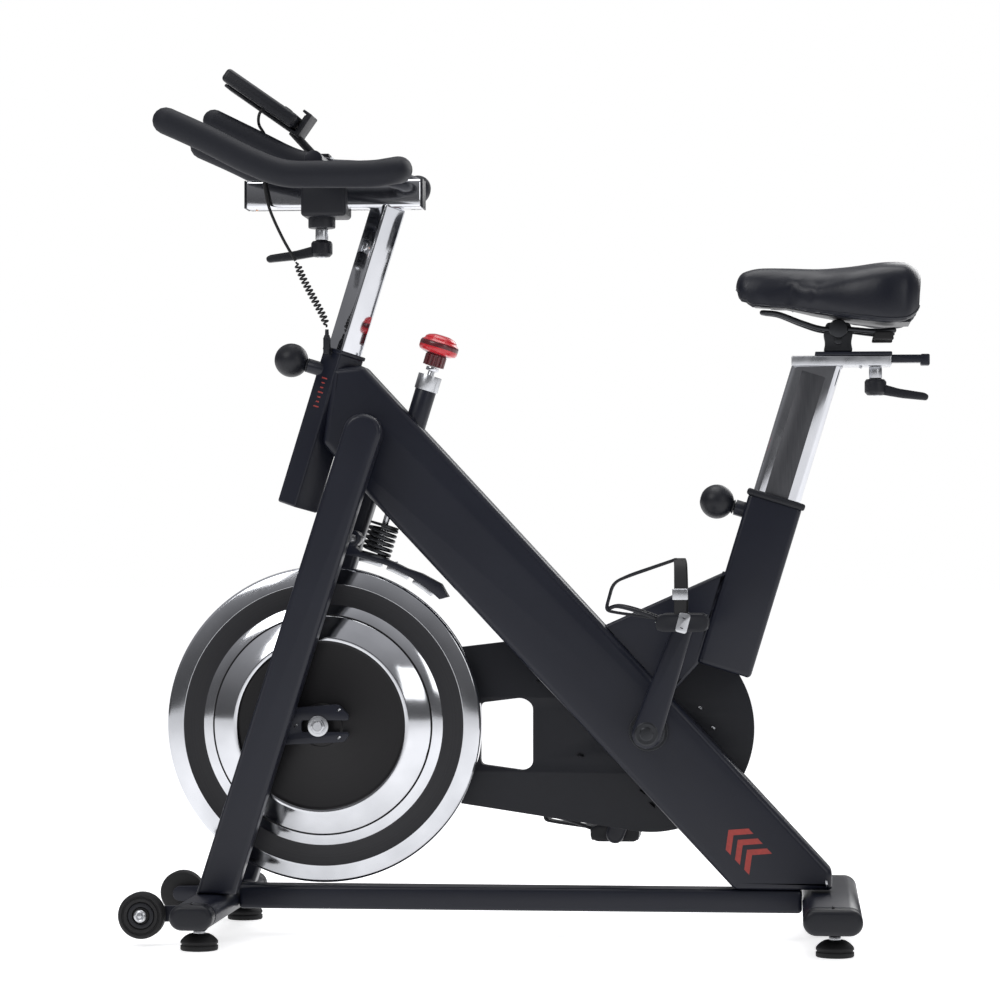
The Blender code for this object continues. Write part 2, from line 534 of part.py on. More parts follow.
# ---------------------------------------------------------------- brake
def make_brake():
    """Push knob and rod, spring, and the magnet arm that swings down to the rim."""
    knob_profile = [(0.0, 0.0240), (0.0140, 0.0230), (0.0240, 0.0175), (0.0290, 0.0090), (0.0290, 0.0010),
                    (0.0240, -0.0040), (0.0165, -0.0070), (0.0160, -0.0240), (0.0, -0.0240)]
    knob = turned("brake_knob", knob_profile, BRAKE_TOP, UP, "red")
    shaft = rod("brake_rod", BRAKE_TOP - UP * 0.300, BRAKE_TOP - UP * 0.0243, 0.0048, "steel")
    pivot("brake_knob_pivot", BRAKE_TOP, [knob, shaft])
    rings = 5
    pitch = 0.0430 / rings
    top = -0.2690
    spring = [(0.0080, top)]
    for ring in range(rings):
        height = top - ring * pitch
        spring += [(0.0180, height), (0.0225, height - pitch * 0.3), (0.0225, height - pitch * 0.6)]
    spring += [(0.0180, top - rings * pitch), (0.0080, top - rings * pitch)]
    turned("brake_spring", spring, BRAKE_TOP, UP, "steel", 14, closed=True)
    lower, upper = 0.2505, 0.2595
    side = arc(WHEEL_X, WHEEL_Z, lower, 86.0, 47.0, 14)
    side += [polar(0.2620, 45.5), polar(0.2690, 50.0), polar(0.2640, 57.0)]
    side += arc(WHEEL_X, WHEEL_Z, upper, 62.0, 78.0, 6)
    side += [polar(0.2700, 81.0), polar(0.2700, 84.0)]
    arm = plate("brake_arm", [side], -0.017, 0.017, "paint")
    pivot_boss = rod("arm_boss", BRAKE_PIVOT - Vector((0, 0.018, 0)), BRAKE_PIVOT + Vector((0, 0.018, 0)), 0.0115, "paint")
    magnets = plate("arm_magnets", [arc(WHEEL_X, WHEEL_Z, 0.2450, 78.0, 50.0, 10)
                                    + arc(WHEEL_X, WHEEL_Z, 0.2530, 50.0, 78.0, 10)], -0.010, 0.010, "steel")
    unite(arm, pivot_boss, magnets)
    cut(arm, hole("arm_bore", BRAKE_PIVOT - Vector((0, 0.03, 0)), BRAKE_PIVOT + Vector((0, 0.03, 0)), 0.0064))
    pivot("brake_arm_pivot", BRAKE_PIVOT, [arm])
    reach = Vector((0.0, LEG_INNER_Y - GAP, 0.0))
    rod("brake_pivot_pin", BRAKE_PIVOT - reach, BRAKE_PIVOT + reach, 0.0060, "steel")


def polar(radius, degrees):
    """A point seen from the flywheel's axis."""
    angle = math.radians(degrees)
    return (WHEEL_X + radius * math.cos(angle), WHEEL_Z + radius * math.sin(angle))


# ---------------------------------------------------------------- handlebar
def make_handlebar_post():
    """Height post with the slide tube welded across its top."""
    half = POST_WIDTH / 2
    post = box("handlebar_post", (-half, -half, -0.140), (half, half, 0.230), "chrome", 0.003,
               leaning(HEAD_TOP, math.pi / 4))
    side = SLIDE_TUBE_HEIGHT / 2
    low = (SLIDE_TUBE_FRONT, -side, SLIDE_TUBE_Z - side)
    high = (SLIDE_TUBE_REAR, side, SLIDE_TUBE_Z + side)
    unite(post, box("slide_tube", low, high, "chrome", 0.004))
    pivot("handlebar_height", HEAD_TOP, [post])


def lever(name, hub, reach, stud, look="plastic"):
    """A clamping lever hanging from its stud: neck, hub and an arm along X."""
    profile = [(0.0, stud), (0.0048, stud), (0.0048, 0.0), (0.0090, -0.0003), (0.0090, -0.0180), (0.0140, -0.0180),
               (0.0160, -0.0220), (0.0160, -0.0380), (0.0120, -0.0420), (0.0, -0.0420)]
    handle = turned(name, profile, hub, (0, 0, 1), look)
    direction = 1.0 if reach > 0 else -1.0
    arm = plate(name + "_arm", [[(hub.x, hub.z - 0.0220), (hub.x + reach * 0.5, hub.z - 0.0330),
                                 (hub.x + reach, hub.z - 0.0390), (hub.x + reach, hub.z - 0.0500),
                                 (hub.x + reach * 0.5, hub.z - 0.0460), (hub.x, hub.z - 0.0400)][::int(direction)]],
                -0.0070, 0.0070, look, 0.002)
    unite(handle, arm)
    pivot(name + "_pivot", hub, [handle])


def make_handlebar():
    """The carriage on the slide tube, the bars with their foam grips, and the reach lever."""
    x_low, x_high = -0.3375, -0.2705
    block = box("slider_block", (x_low, -0.034, 1.0550), (x_high, 0.034, 1.1135), "plastic", 0.005)
    boss = rod("slider_boss", (-0.3105, 0.0, 1.0400), (-0.3105, 0.0, 1.0580), 0.0200, "plastic")
    side = SLIDE_TUBE_HEIGHT / 2 + 0.0004
    channel = box("slider_channel", (-0.40, -side, SLIDE_TUBE_Z - side), (-0.20, side, SLIDE_TUBE_Z + side), "steel")
    cut(unite(block, boss), channel, hole("lever_hole", (-0.3105, 0.0, 1.030), (-0.3105, 0.0, 1.0530), 0.0054))
    lever("reach_lever", Vector((-0.3105, 0.0, 1.0397)), -0.0830, 0.0110)

    bar_x, bar_z = -0.3045, 1.1272
    frame = rod("handlebar_frame", (bar_x, -0.1300, bar_z), (bar_x, 0.1300, bar_z), 0.0130, "paint")
    cap = box("bar_cap", (bar_x - 0.021, -0.020, 1.1138), (bar_x + 0.021, 0.020, 1.1440), "paint", 0.006)
    unite(frame, cap)
    pieces = [block, frame]
    for name, sign in (("left", -1), ("right", 1)):
        route = [(-0.5150, sign * 0.150, 1.1820), (-0.4600, sign * 0.150, 1.1570), (-0.3950, sign * 0.150, 1.1240),
                 (-0.3450, sign * 0.150, 1.1055), (-0.2900, sign * 0.150, 1.1030), (-0.2200, sign * 0.150, 1.1030),
                 (-0.1900, sign * 0.146, 1.1070), (-0.1820, sign * 0.125, 1.1110), (-0.1820, sign * 0.100, 1.1120)]
        pieces.append(tube("grip_" + name, route, 0.0195, "foam", 2, 3))
        horn = [(-0.3300, sign * 0.040, 1.1330), (-0.3560, sign * 0.040, 1.1420), (-0.4000, sign * 0.040, 1.1640),
                (-0.4645, sign * 0.040, 1.1960)]
        pieces.append(tube("horn_grip_" + name, horn, 0.0165, "foam", 2, 3))
    pieces += make_console()
    pivot("handlebar_reach", (bar_x, 0.0, SLIDE_TUBE_Z), pieces)


def make_console():
    """The small display, its bracket with a ledge for a phone, and one push button."""
    middle = Vector((-0.3970, 0.0, 1.2260))
    tilt = Matrix.Translation(middle) @ Matrix.Rotation(math.radians(35.0), 4, "Y")
    case = box("console_case", (-0.0630, -0.0550, -0.0080), (0.0630, 0.0550, 0.0130), "plastic", 0.005, tilt)
    well = box("button_well", (0.0300, -0.0125, 0.0080), (0.0420, 0.0125, 0.0200), "steel", matrix=tilt)
    cut(case, well)
    button = box("console_button", (0.0305, -0.0120, 0.0095), (0.0415, 0.0120, 0.0150), "rubber", 0.001, tilt)
    pivot("console_button_slide", tilt @ Vector((0.036, 0.0, 0.0122)), [button])
    bracket = box("console_bracket", (-0.0580, -0.0300, -0.0130), (0.0720, 0.0300, -0.0083), "plastic", matrix=tilt)
    ledge = box("ledge", (0.0670, -0.0300, -0.0130), (0.0750, 0.0300, 0.0260), "plastic", matrix=tilt)
    hook = box("ledge_hook", (0.0600, -0.0300, 0.0220), (0.0745, 0.0300, 0.0260), "plastic", matrix=tilt)
    stem_end = Vector((-0.3235, 0.0, 1.1495))
    stem = rod("console_stem", tilt @ Vector((0.0580, 0.0, -0.0155)), stem_end, 0.0060, "plastic", 12)
    foot = box("console_foot", (-0.3310, -0.0150, 1.1443), (-0.2980, 0.0150, 1.1490), "plastic")
    unite(bracket, ledge, hook, stem, foot)
    return [case, bracket]


LEAD_ROUTE = [(-0.3920, -0.0440, 1.2120), (-0.3975, -0.0430, 1.2030), (-0.3990, -0.0330, 1.1900),
              (-0.3930, -0.0150, 1.1760), (-0.3900, -0.0120, 1.1500), (-0.3930, -0.0260, 1.1220),
              (-0.3900, -0.0300, 1.0950), (-0.3830, -0.0310, 1.0650), (-0.3650, -0.0310, 1.0250),
              (-0.3450, -0.0318, 0.9900)]
LEAD_RADIUS = 0.0022
CURL_ROUTE = [(-0.3446, -0.0318, 0.9893), (-0.3330, -0.0290, 0.9620), (-0.3180, -0.0250, 0.9330),
              (-0.3050, -0.0215, 0.9080), (-0.2999, -0.0209, 0.8915)]
CURL_RADIUS = 0.0060


def make_lead():
    """The sensor lead: a straight stretch from the display, a curly stretch, and its plug."""
    tube("console_lead", LEAD_ROUTE, LEAD_RADIUS, "rubber", 2, 2)
    tube("curly_lead", CURL_ROUTE, CURL_RADIUS, "rubber", 2, 2)
    sleeve_side = HEAD_TOP + leaning(Vector(), math.pi / 4).to_3x3() @ Vector((-0.0295, 0.0, 0.0))
    toe = sleeve_side - UP * 0.012
    profile = [(0.0, 0.0370), (0.0042, 0.0370), (0.0055, 0.0260), (0.0055, 0.0), (0.0, 0.0)]
    turned("lead_plug", profile, toe, (0, 0, 1), "plastic", 16)


# ---------------------------------------------------------------- pop pins and saddle
def pop_pin(name, top, down, ball_at, shank_end):
    """A ball knob on a spring shank, pulled forwards to free a post."""
    start = on_axis(top, -down, -ball_at)
    ball_radius = 0.025
    steps = 7
    ball = [(ball_radius * math.sin(math.pi * i / (steps * 1.12)), ball_radius * math.cos(math.pi * i / (steps * 1.12)))
            for i in range(steps + 1)]
    neck = 0.0105
    profile = ball + [(neck, -ball_radius - 0.001), (0.0048, -ball_radius - 0.001),
                      (0.0048, shank_end - ball_at), (0.0, shank_end - ball_at)]
    pin = turned(name, profile, start, -BACK, "plastic", 16)
    pivot(name + "_slide", start, [pin])


def make_seat():
    """Seat post, its head, the carriage with saddle clamp, the lever and the saddle."""
    long, wide = SEAT_POST_SIZE[0] / 2, SEAT_POST_SIZE[1] / 2
    post = box("seat_post", (-long, -wide, -0.150), (long, wide, 0.230), "chrome", 0.007, leaning(SEAT_TOP))
    cut(post, box("post_top", (0.300, -0.100, SEAT_HEAD_BOTTOM - GAP), (0.500, 0.100, 0.950), "steel"))
    head = box("seat_head", (0.3795, -0.0300, SEAT_HEAD_BOTTOM), (0.5235, 0.0300, SEAT_HEAD_TOP), "steel", 0.002)
    lever_x = 0.5010
    cut(head, box("head_channel", (0.300, -0.0125, SEAT_HEAD_TOP - 0.0095), (0.600, 0.0125, 0.900), "steel"),
        hole("seat_lever_hole", (lever_x, 0.0, 0.800), (lever_x, 0.0, 0.850), 0.0054))
    pivot("seat_height", SEAT_TOP, [post, head])
    lever("seat_lever", Vector((lever_x, 0.0, SEAT_HEAD_BOTTOM - GAP)), 0.0770, 0.0045)

    top = SEAT_HEAD_TOP + GAP
    carriage = box("seat_carriage", (0.4135, -0.0290, top), (0.5245, 0.0290, top + 0.0058), "paint", 0.002)
    bar = box("slide_bar", (0.4435, -0.0120, SEAT_HEAD_TOP - 0.0091), (0.5765, 0.0120, top + 0.0020), "paint", 0.001)
    stop = box("slide_stop", (0.5660, -0.0125, 0.8335), (0.5790, 0.0125, top + 0.0030), "paint", 0.002)
    unite(carriage, bar, stop)
    clamp = box("saddle_clamp", (0.4255, -0.0160, top + 0.0061), (0.4685, 0.0160, 0.8960), "steel", 0.005)
    pivot("seat_reach", (0.4690, 0.0, top), [carriage, clamp])
    pivot("saddle_tilt", SADDLE_PIVOT, make_saddle())


SADDLE_FRONT, SADDLE_REAR = 0.2935, 0.5695
SADDLE_STATIONS = [  # distance from nose to tail (0-1), half width, top, rim bottom
    (0.00, 0.014, 0.958, 0.9350), (0.03, 0.026, 0.971, 0.9220), (0.12, 0.031, 0.9765, 0.9140),
    (0.28, 0.036, 0.9755, 0.9110), (0.45, 0.055, 0.9735, 0.9010), (0.62, 0.082, 0.9760, 0.8930),
    (0.80, 0.096, 0.9830, 0.8870), (0.93, 0.090, 0.9820, 0.8880), (0.985, 0.066, 0.9680, 0.9000),
    (1.00, 0.046, 0.9520, 0.9120)]


def loft(name, sections, look):
    """A closed skin through rings with the same number of points."""
    mesh = bpy.data.meshes.new(name)
    cage = bmesh.new()
    rings = [[cage.verts.new(point) for point in section] for section in sections]
    count = len(rings[0])
    for first, second in zip(rings, rings[1:]):
        for i in range(count):
            j = (i + 1) % count
            cage.faces.new((first[i], first[j], second[j], second[i]))
    cage.faces.new(reversed(rings[0]))
    cage.faces.new(rings[-1])
    bmesh.ops.recalc_face_normals(cage, faces=cage.faces)
    cage.to_mesh(mesh)
    cage.free()
    return place(name, mesh, look)


def make_saddle():
    """Padded top, plastic base under it, and the wire rails."""
    span = SADDLE_REAR - SADDLE_FRONT
    pad_rings, base_rings = [], []
    for part, half, top, rim in SADDLE_STATIONS:
        x = SADDLE_FRONT + span * part
        mid = (top + rim) / 2
        recess = rim + 0.016
        right = [(0.55 * half, top - 0.004), (0.90 * half, top - 0.016), (half, mid), (0.94 * half, rim + 0.003),
                 (0.84 * half, rim), (0.72 * half, recess)]
        ring = [(x, 0.0, top)] + [(x, y, z) for y, z in right] + [(x, 0.0, recess)]
        ring += [(x, -y, z) for y, z in reversed(right)]
        pad_rings.append(ring)
        if 0.1 < part < 0.95:
            inset = 0.56 * half
            high, low = recess - 0.0045, recess - 0.0105
            base_rings.append([(x, inset, high), (x, -inset, high), (x, -inset, low), (x, inset, low)])
    pad = loft("saddle_pad", pad_rings, "vinyl")
    rounding = pad.modifiers.new("rounding", "SUBSURF")
    rounding.levels = 1
    rounding.render_levels = 1
    base = loft("saddle_base", base_rings, "plastic")
    half_wire = [(0.5300, 0.0380, 0.8830), (0.5000, 0.0320, 0.8815), (0.4600, 0.0215, 0.8855), (0.4250, 0.0215, 0.8860),
                 (0.3950, 0.0190, 0.8950), (0.3620, 0.0130, 0.9080), (0.3420, 0.0070, 0.9110)]
    route = half_wire + [(0.3370, 0.0, 0.9115)] + [(x, -y, z) for x, y, z in reversed(half_wire)]
    rails = tube("saddle_rails", route, 0.0038, "steel", 2, 1)
    return [pad, base, rails]


make_frame()
make_floor_bars()
make_feet()
make_rollers()
make_drive_cover()
make_flywheel()
make_crankset()
make_brake()
make_handlebar_post()
make_handlebar()
make_lead()
pop_pin("head_pin", HEAD_TOP, 0.035, 0.0720, 0.0290)
pop_pin("seat_pin", SEAT_TOP, 0.033, 0.0815, 0.0400)
make_seat()
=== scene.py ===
"""The exercise bike's visible pieces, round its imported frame. Metres; +Z up, the front towards -X."""
import math

import bmesh
import bpy
from mathutils import Matrix, Vector
from mathutils.bvhtree import BVHTree


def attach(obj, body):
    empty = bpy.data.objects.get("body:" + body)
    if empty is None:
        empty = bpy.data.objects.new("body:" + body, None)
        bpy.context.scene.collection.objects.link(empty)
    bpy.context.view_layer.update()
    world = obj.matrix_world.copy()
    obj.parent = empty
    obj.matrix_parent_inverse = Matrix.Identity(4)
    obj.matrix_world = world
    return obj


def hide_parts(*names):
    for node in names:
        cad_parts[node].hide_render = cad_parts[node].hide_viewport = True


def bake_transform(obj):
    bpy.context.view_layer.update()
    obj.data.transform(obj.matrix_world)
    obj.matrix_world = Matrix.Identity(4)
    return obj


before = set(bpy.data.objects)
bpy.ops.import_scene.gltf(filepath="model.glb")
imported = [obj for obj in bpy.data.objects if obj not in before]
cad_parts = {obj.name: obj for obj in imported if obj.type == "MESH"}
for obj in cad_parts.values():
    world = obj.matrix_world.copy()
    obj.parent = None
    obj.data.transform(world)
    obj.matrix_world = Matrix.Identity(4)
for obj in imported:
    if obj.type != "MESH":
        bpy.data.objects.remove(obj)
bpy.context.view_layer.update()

LEAN = math.radians(17.0)                   # posts and brake rod lean back by this angle
UP = Vector((math.sin(LEAN), 0.0, math.cos(LEAN)))
BACK = Vector((math.cos(LEAN), 0.0, -math.sin(LEAN)))
NEAR = (0, -1, 0)                           # the rider's left
WHEEL = Vector((-0.3055, 0.0, 0.310))
CRANK = Vector((0.1725, 0.0, 0.303))
CRANK_LENGTH, CRANK_ANGLE = 0.170, math.radians(71.0)
HEAD_TOP = Vector((-0.2765, 0.0, 0.858))
SEAT_TOP = Vector((0.3585, 0.0, 0.644))
BRAKE_TOP = Vector((-0.1385, 0.0, 0.858))
BRAKE_PIVOT = Vector((-0.262, 0.0, 0.583))
LEG_FOOT, LEG_HEAD, LEG_WIDTH = Vector((-0.4500, 0.0, 0.0686)), Vector((-0.2378, 0.0, 0.735)), 0.055
SIDES = (("left", -1), ("right", 1))
BEAM_HALF = 0.033                           # half the main beam's width
BEAM_UNDER = ((-0.2385, 0.645), (0.2965, 0.0746))       # ends of the beam's slanting underside
HEAD_PIN_DROP, SEAT_PIN_DROP = 0.035, 0.033  # the pop pins sit this far below their sleeves' tops
FOOT_X, FOOT_Y = {"front": -0.4565, "rear": 0.4385}, 0.197
ROLLER_X, ROLLER_Y, ROLLER_Z = -0.5462, 0.160, 0.044
GUARD_NEAR, GUARD_FAR = 0.0363, 0.0612      # the belt guard's outer faces
PEDAL_IN, PEDAL_OUT = 0.1130, 0.2060
GRIP_Y, HORN_Y = 0.150, 0.040
REACH_LEVER, SEAT_LEVER = Vector((-0.3105, 0.0, 1.0397)), Vector((0.5010, 0.0, 0.8323))


# ---------------------------------------------------------------- shader sums
class Field:
    """A shader socket that takes part in sums."""

    def __init__(self, coat, socket):
        self.coat, self.socket = coat, socket

    def sum(self, operation, a, b):
        return self.coat.node("ShaderNodeMath", {"operation": operation}, a, b)

    def __add__(self, other):
        return self.sum("ADD", self, other)

    def __sub__(self, other):
        return self.sum("SUBTRACT", self, other)

    def __rsub__(self, other):
        return self.sum("SUBTRACT", other, self)

    def __mul__(self, other):
        return self.sum("MULTIPLY", self, other)

    def __gt__(self, other):
        return self.sum("GREATER_THAN", self, other)

    def __lt__(self, other):
        return self.sum("LESS_THAN", self, other)

    __radd__ = __add__
    __rmul__ = __mul__


class Coat:
    """A material on one principled shader; constants sit on the shader's own sockets."""

    def __init__(self, name, colour, roughness, metallic=0.0, **constants):
        self.material = bpy.data.materials.new(name)
        self.material.use_nodes = True
        self.nodes = self.material.node_tree.nodes
        self.links = self.material.node_tree.links
        self.shader = next(n for n in self.nodes if n.type == "BSDF_PRINCIPLED")
        self.shader.inputs["Base Color"].default_value = (*colour, 1.0)
        self.shader.inputs["Roughness"].default_value = roughness
        self.shader.inputs["Metallic"].default_value = metallic
        for socket, value in constants.items():
            self.shader.inputs[socket.replace("_", " ")].default_value = value
        self.material.diffuse_color = (*colour, 1.0)

    def node(self, kind, settings, *values, out=0, **named):
        made = self.nodes.new(kind)
        for key, value in settings.items():
            if key == "stops":
                ramp = made.color_ramp.elements
                for index, (place, colour) in enumerate(value):
                    stop = ramp[index] if index < 2 else ramp.new(place)
                    stop.position, stop.color = place, (*colour, 1.0)
            else:
                setattr(made, key, value)
        named = [(key.replace("_", " "), value) for key, value in named.items()]
        for key, value in [*enumerate(values), *named]:
            if isinstance(value, Field):
                self.links.new(value.socket, made.inputs[key])
            else:
                made.inputs[key].default_value = value
        return Field(self, made.outputs[out])

    def feed(self, socket, field):
        self.links.new(field.socket, self.shader.inputs[socket])

    def place(self):
        return self.node("ShaderNodeTexCoord", {}, out="Object")

    def noise(self, scale, detail=3.0, vector=None):
        vector = vector or self.place()
        return self.node("ShaderNodeTexNoise", {}, Vector=vector, Scale=scale, Detail=detail)

    def cells(self, scale, feature="F1"):
        return self.node("ShaderNodeTexVoronoi", {"feature": feature}, Vector=self.place(), Scale=scale)

    def mix(self, factor, first, second):
        """A colour between two, by the factor."""
        made = self.nodes.new("ShaderNodeMix")
        made.data_type = "RGBA"
        for index, value in ((0, factor), (6, first), (7, second)):
            if isinstance(value, Field):
                self.links.new(value.socket, made.inputs[index])
            elif index:
                made.inputs[index].default_value = (*value, 1.0)
            else:
                made.inputs[index].default_value = value
        return Field(self, made.outputs[2])

    def bump(self, height, strength, distance):
        made = self.node("ShaderNodeBump", {}, Height=height, Strength=strength, Distance=distance)
        self.feed("Normal", made)
        return self

    def varied(self, scale, dark, light, rough_low, rough_high):
        """Mild clouding in the colour and the gloss."""
        cloud = self.noise(scale)
        self.feed("Base Color", self.mix(cloud, dark, light))
        self.feed("Roughness", cloud * (rough_high - rough_low) + rough_low)
        return self


def radial(coat, centre):
    """The distance from an axis along Y, in metres."""
    parts = coat.node("ShaderNodeSeparateXYZ", {}, coat.place())
    node = parts.socket.node
    offsets = [Field(coat, node.outputs[axis]) - centre[axis] for axis in (0, 2)]
    squares = offsets[0] * offsets[0] + offsets[1] * offsets[1]
    return coat.node("ShaderNodeMath", {"operation": "SQRT"}, squares)


# ---------------------------------------------------------------- materials
def frame_paint():
    """Satin black powder coat with a fine orange peel."""
    coat = Coat("satin_powder_coat", (0.0075, 0.0085, 0.0150), 0.36, Coat_Weight=0.06, Coat_Roughness=0.22,
                Specular_IOR_Level=0.30)
    coat.varied(9.0, (0.0052, 0.0062, 0.0122), (0.0085, 0.0101, 0.0182), 0.30, 0.40)
    return coat.bump(coat.noise(800.0, 2.0), 0.10, 0.00010).material


def moulded_plastic():
    coat = Coat("moulded_black_plastic", (0.007, 0.008, 0.011), 0.42, Specular_IOR_Level=0.32)
    coat.varied(14.0, (0.0042, 0.0048, 0.0078), (0.0072, 0.0082, 0.0122), 0.36, 0.48)
    return coat.bump(coat.cells(1400.0), 0.22, 0.00010).material


def guard_plastic():
    """The belt guard's finely grained sheet."""
    coat = Coat("guard_plastic", (0.006, 0.007, 0.010), 0.47, Specular_IOR_Level=0.28)
    coat.varied(7.0, (0.0040, 0.0047, 0.0078), (0.0066, 0.0076, 0.0118), 0.42, 0.54)
    return coat.bump(coat.noise(2200.0, 4.0), 0.30, 0.00012).material


def soft_rubber():
    coat = Coat("black_rubber", (0.008, 0.008, 0.009), 0.62, Specular_IOR_Level=0.35)
    coat.varied(30.0, (0.0055, 0.0055, 0.0062), (0.0105, 0.0105, 0.0115), 0.55, 0.72)
    return coat.bump(coat.noise(900.0, 5.0), 0.25, 0.00015).material


def grip_foam():
    """Closed-cell foam with fine pores."""
    coat = Coat("grip_foam", (0.008, 0.009, 0.014), 0.62, Specular_IOR_Level=0.28)
    pores = coat.cells(1500.0)
    coat.feed("Base Color", coat.mix(pores * 1.3, (0.0026, 0.0032, 0.0064), (0.0058, 0.0070, 0.0122)))
    return coat.bump(pores, 0.35, 0.00020).material


def chrome():
    coat = Coat("chrome_plate", (0.78, 0.79, 0.82), 0.07, 1.0)
    haze = coat.noise(18.0, 4.0)
    coat.feed("Roughness", haze * 0.09 + 0.03)
    coat.feed("Base Color", coat.mix(haze, (0.52, 0.53, 0.56), (0.74, 0.75, 0.78)))
    return coat.material


def machined_steel():
    coat = Coat("zinc_plated_steel", (0.50, 0.51, 0.53), 0.28, 1.0)
    haze = coat.noise(60.0, 5.0)
    coat.feed("Roughness", haze * 0.22 + 0.18)
    coat.feed("Base Color", coat.mix(haze, (0.36, 0.37, 0.39), (0.62, 0.63, 0.65)))
    return coat.bump(coat.noise(700.0, 2.0), 0.12, 0.00010).material


def dark_steel():
    coat = Coat("blackened_steel", (0.030, 0.031, 0.034), 0.34, 0.85)
    coat.varied(40.0, (0.020, 0.021, 0.024), (0.048, 0.050, 0.054), 0.26, 0.44)
    return coat.bump(coat.noise(800.0, 3.0), 0.15, 0.00010).material


def flywheel_faces():
    """Turned rings: bright bevels, a dark flat ring and a near-black dish."""
    coat = Coat("turned_flywheel", (0.7, 0.7, 0.72), 0.12, 1.0, Specular_IOR_Level=0.30)
    away = radial(coat, WHEEL)
    cloud = coat.noise(11.0, 3.0)
    rings = coat.noise(520.0, 2.0, coat.node("ShaderNodeCombineXYZ", {}, away, 0.0, 0.0))
    dark_ring = (away > 0.1765) * (away < 0.2068)
    groove = (away > 0.1596) * (away < 0.1621)
    dish = away < 0.1234
    shade = coat.mix(cloud, (0.36, 0.37, 0.39), (0.72, 0.73, 0.76))
    shade = coat.mix(dark_ring, shade, coat.mix(rings, (0.010, 0.010, 0.012), (0.022, 0.022, 0.025)))
    shade = coat.mix(groove, shade, (0.010, 0.010, 0.011))
    shade = coat.mix(dish, shade, coat.mix(rings, (0.0040, 0.0038, 0.0046), (0.0095, 0.0090, 0.0104)))
    coat.feed("Base Color", shade)
    matt = dark_ring + dish + groove
    coat.feed("Metallic", 1.0 - matt * 0.9)
    coat.feed("Roughness", rings * 0.06 + 0.05 + cloud * 0.05 + matt * 0.24)
    return coat.bump(rings, 0.10, 0.00008).material


def red_plastic():
    coat = Coat("red_plastic", (0.50, 0.012, 0.022), 0.27, Coat_Weight=0.25, Coat_Roughness=0.12)
    dot = {"operation": "DOT_PRODUCT"}
    height = coat.node("ShaderNodeVectorMath", dot, coat.place(), tuple(UP), out="Value")
    level = height - BRAKE_TOP.dot(UP)
    band = (level > 0.0045) * (level < 0.0120)
    stem = level < -0.0045
    red = coat.mix(coat.noise(40.0), (0.43, 0.008, 0.016), (0.60, 0.016, 0.028))
    coat.feed("Base Color", coat.mix(band + stem, red, (0.085, 0.006, 0.010)))
    return coat.bump(coat.noise(500.0), 0.04, 0.00006).material


def saddle_vinyl():
    """Fine-grained vinyl with a soft sheen."""
    coat = Coat("saddle_vinyl", (0.006, 0.007, 0.012), 0.36, Specular_IOR_Level=0.32)
    grain = coat.cells(620.0, "SMOOTH_F1")
    cloud = coat.noise(16.0)
    depth = grain * 0.6 + cloud * 0.4
    coat.feed("Base Color", coat.mix(depth, (0.0028, 0.0036, 0.0078), (0.0056, 0.0070, 0.0136)))
    coat.feed("Roughness", cloud * 0.12 + grain * 0.10 + 0.26)
    return coat.bump(grain, 0.28, 0.00022).material


def printed_red():
    coat = Coat("printed_red", (0.36, 0.035, 0.030), 0.45)
    speckle = coat.noise(260.0, 4.0)
    coat.feed("Base Color", coat.mix(speckle, (0.19, 0.017, 0.014), (0.38, 0.040, 0.030)))
    return coat.material


def display_glass():
    coat = Coat("display_glass", (0.018, 0.022, 0.026), 0.08, Coat_Weight=0.6, Coat_Roughness=0.04)
    coat.varied(25.0, (0.014, 0.018, 0.022), (0.026, 0.031, 0.036), 0.05, 0.12)
    return coat.material


def copper():
    coat = Coat("copper_screw", (0.62, 0.28, 0.12), 0.25, 1.0)
    coat.varied(90.0, (0.50, 0.21, 0.08), (0.72, 0.36, 0.18), 0.18, 0.36)
    return coat.material


def brushed_insert():
    """The dark brushed channel down the seat post's sides."""
    coat = Coat("brushed_dark_channel", (0.05, 0.05, 0.055), 0.45, 0.35)
    stretched = coat.node("ShaderNodeMapping", {}, coat.place(), Scale=(1.0, 1.0, 0.04))
    lines = coat.noise(900.0, 2.0, stretched)
    coat.feed("Base Color", coat.mix(lines, (0.026, 0.027, 0.031), (0.060, 0.061, 0.067)))
    return coat.material


LOOKS = {"paint": ("frame_paint", frame_paint()), "plastic": ("black_plastic", moulded_plastic()),
         "guard": ("black_plastic", guard_plastic()), "rubber": ("black_rubber", soft_rubber()),
         "foam": ("grip_foam", grip_foam()), "chrome": ("chrome", chrome()),
         "steel": ("machine_steel", machined_steel()), "black_steel": ("machine_steel", dark_steel()),
         "wheel": ("flywheel_steel", flywheel_faces()), "red": ("red_plastic", red_plastic()),
         "vinyl": ("saddle_vinyl", saddle_vinyl()), "print": ("red_plastic", printed_red()),
         "glass": ("black_plastic", display_glass()), "copper": ("machine_steel", copper()),
         "insert": ("chrome", brushed_insert())}


# ---------------------------------------------------------------- shape helpers
def put(piece, body, look, *nodes):
    """Give a finished piece its body and material, and hide the CAD nodes it stands for."""
    slot, material = LOOKS[look]
    piece.data.materials.clear()
    piece.data.materials.append(material)
    if body:
        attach(piece, body)
    if nodes:
        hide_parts(*nodes)
    return piece


def keep(look, *nodes):
    """CAD nodes that stay, with a better finish."""
    for node in nodes:
        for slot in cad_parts[node].material_slots:
            slot.material = LOOKS[look][1]


def linked(name, mesh):
    obj = bpy.data.objects.new(name, mesh)
    bpy.context.scene.collection.objects.link(obj)
    return obj


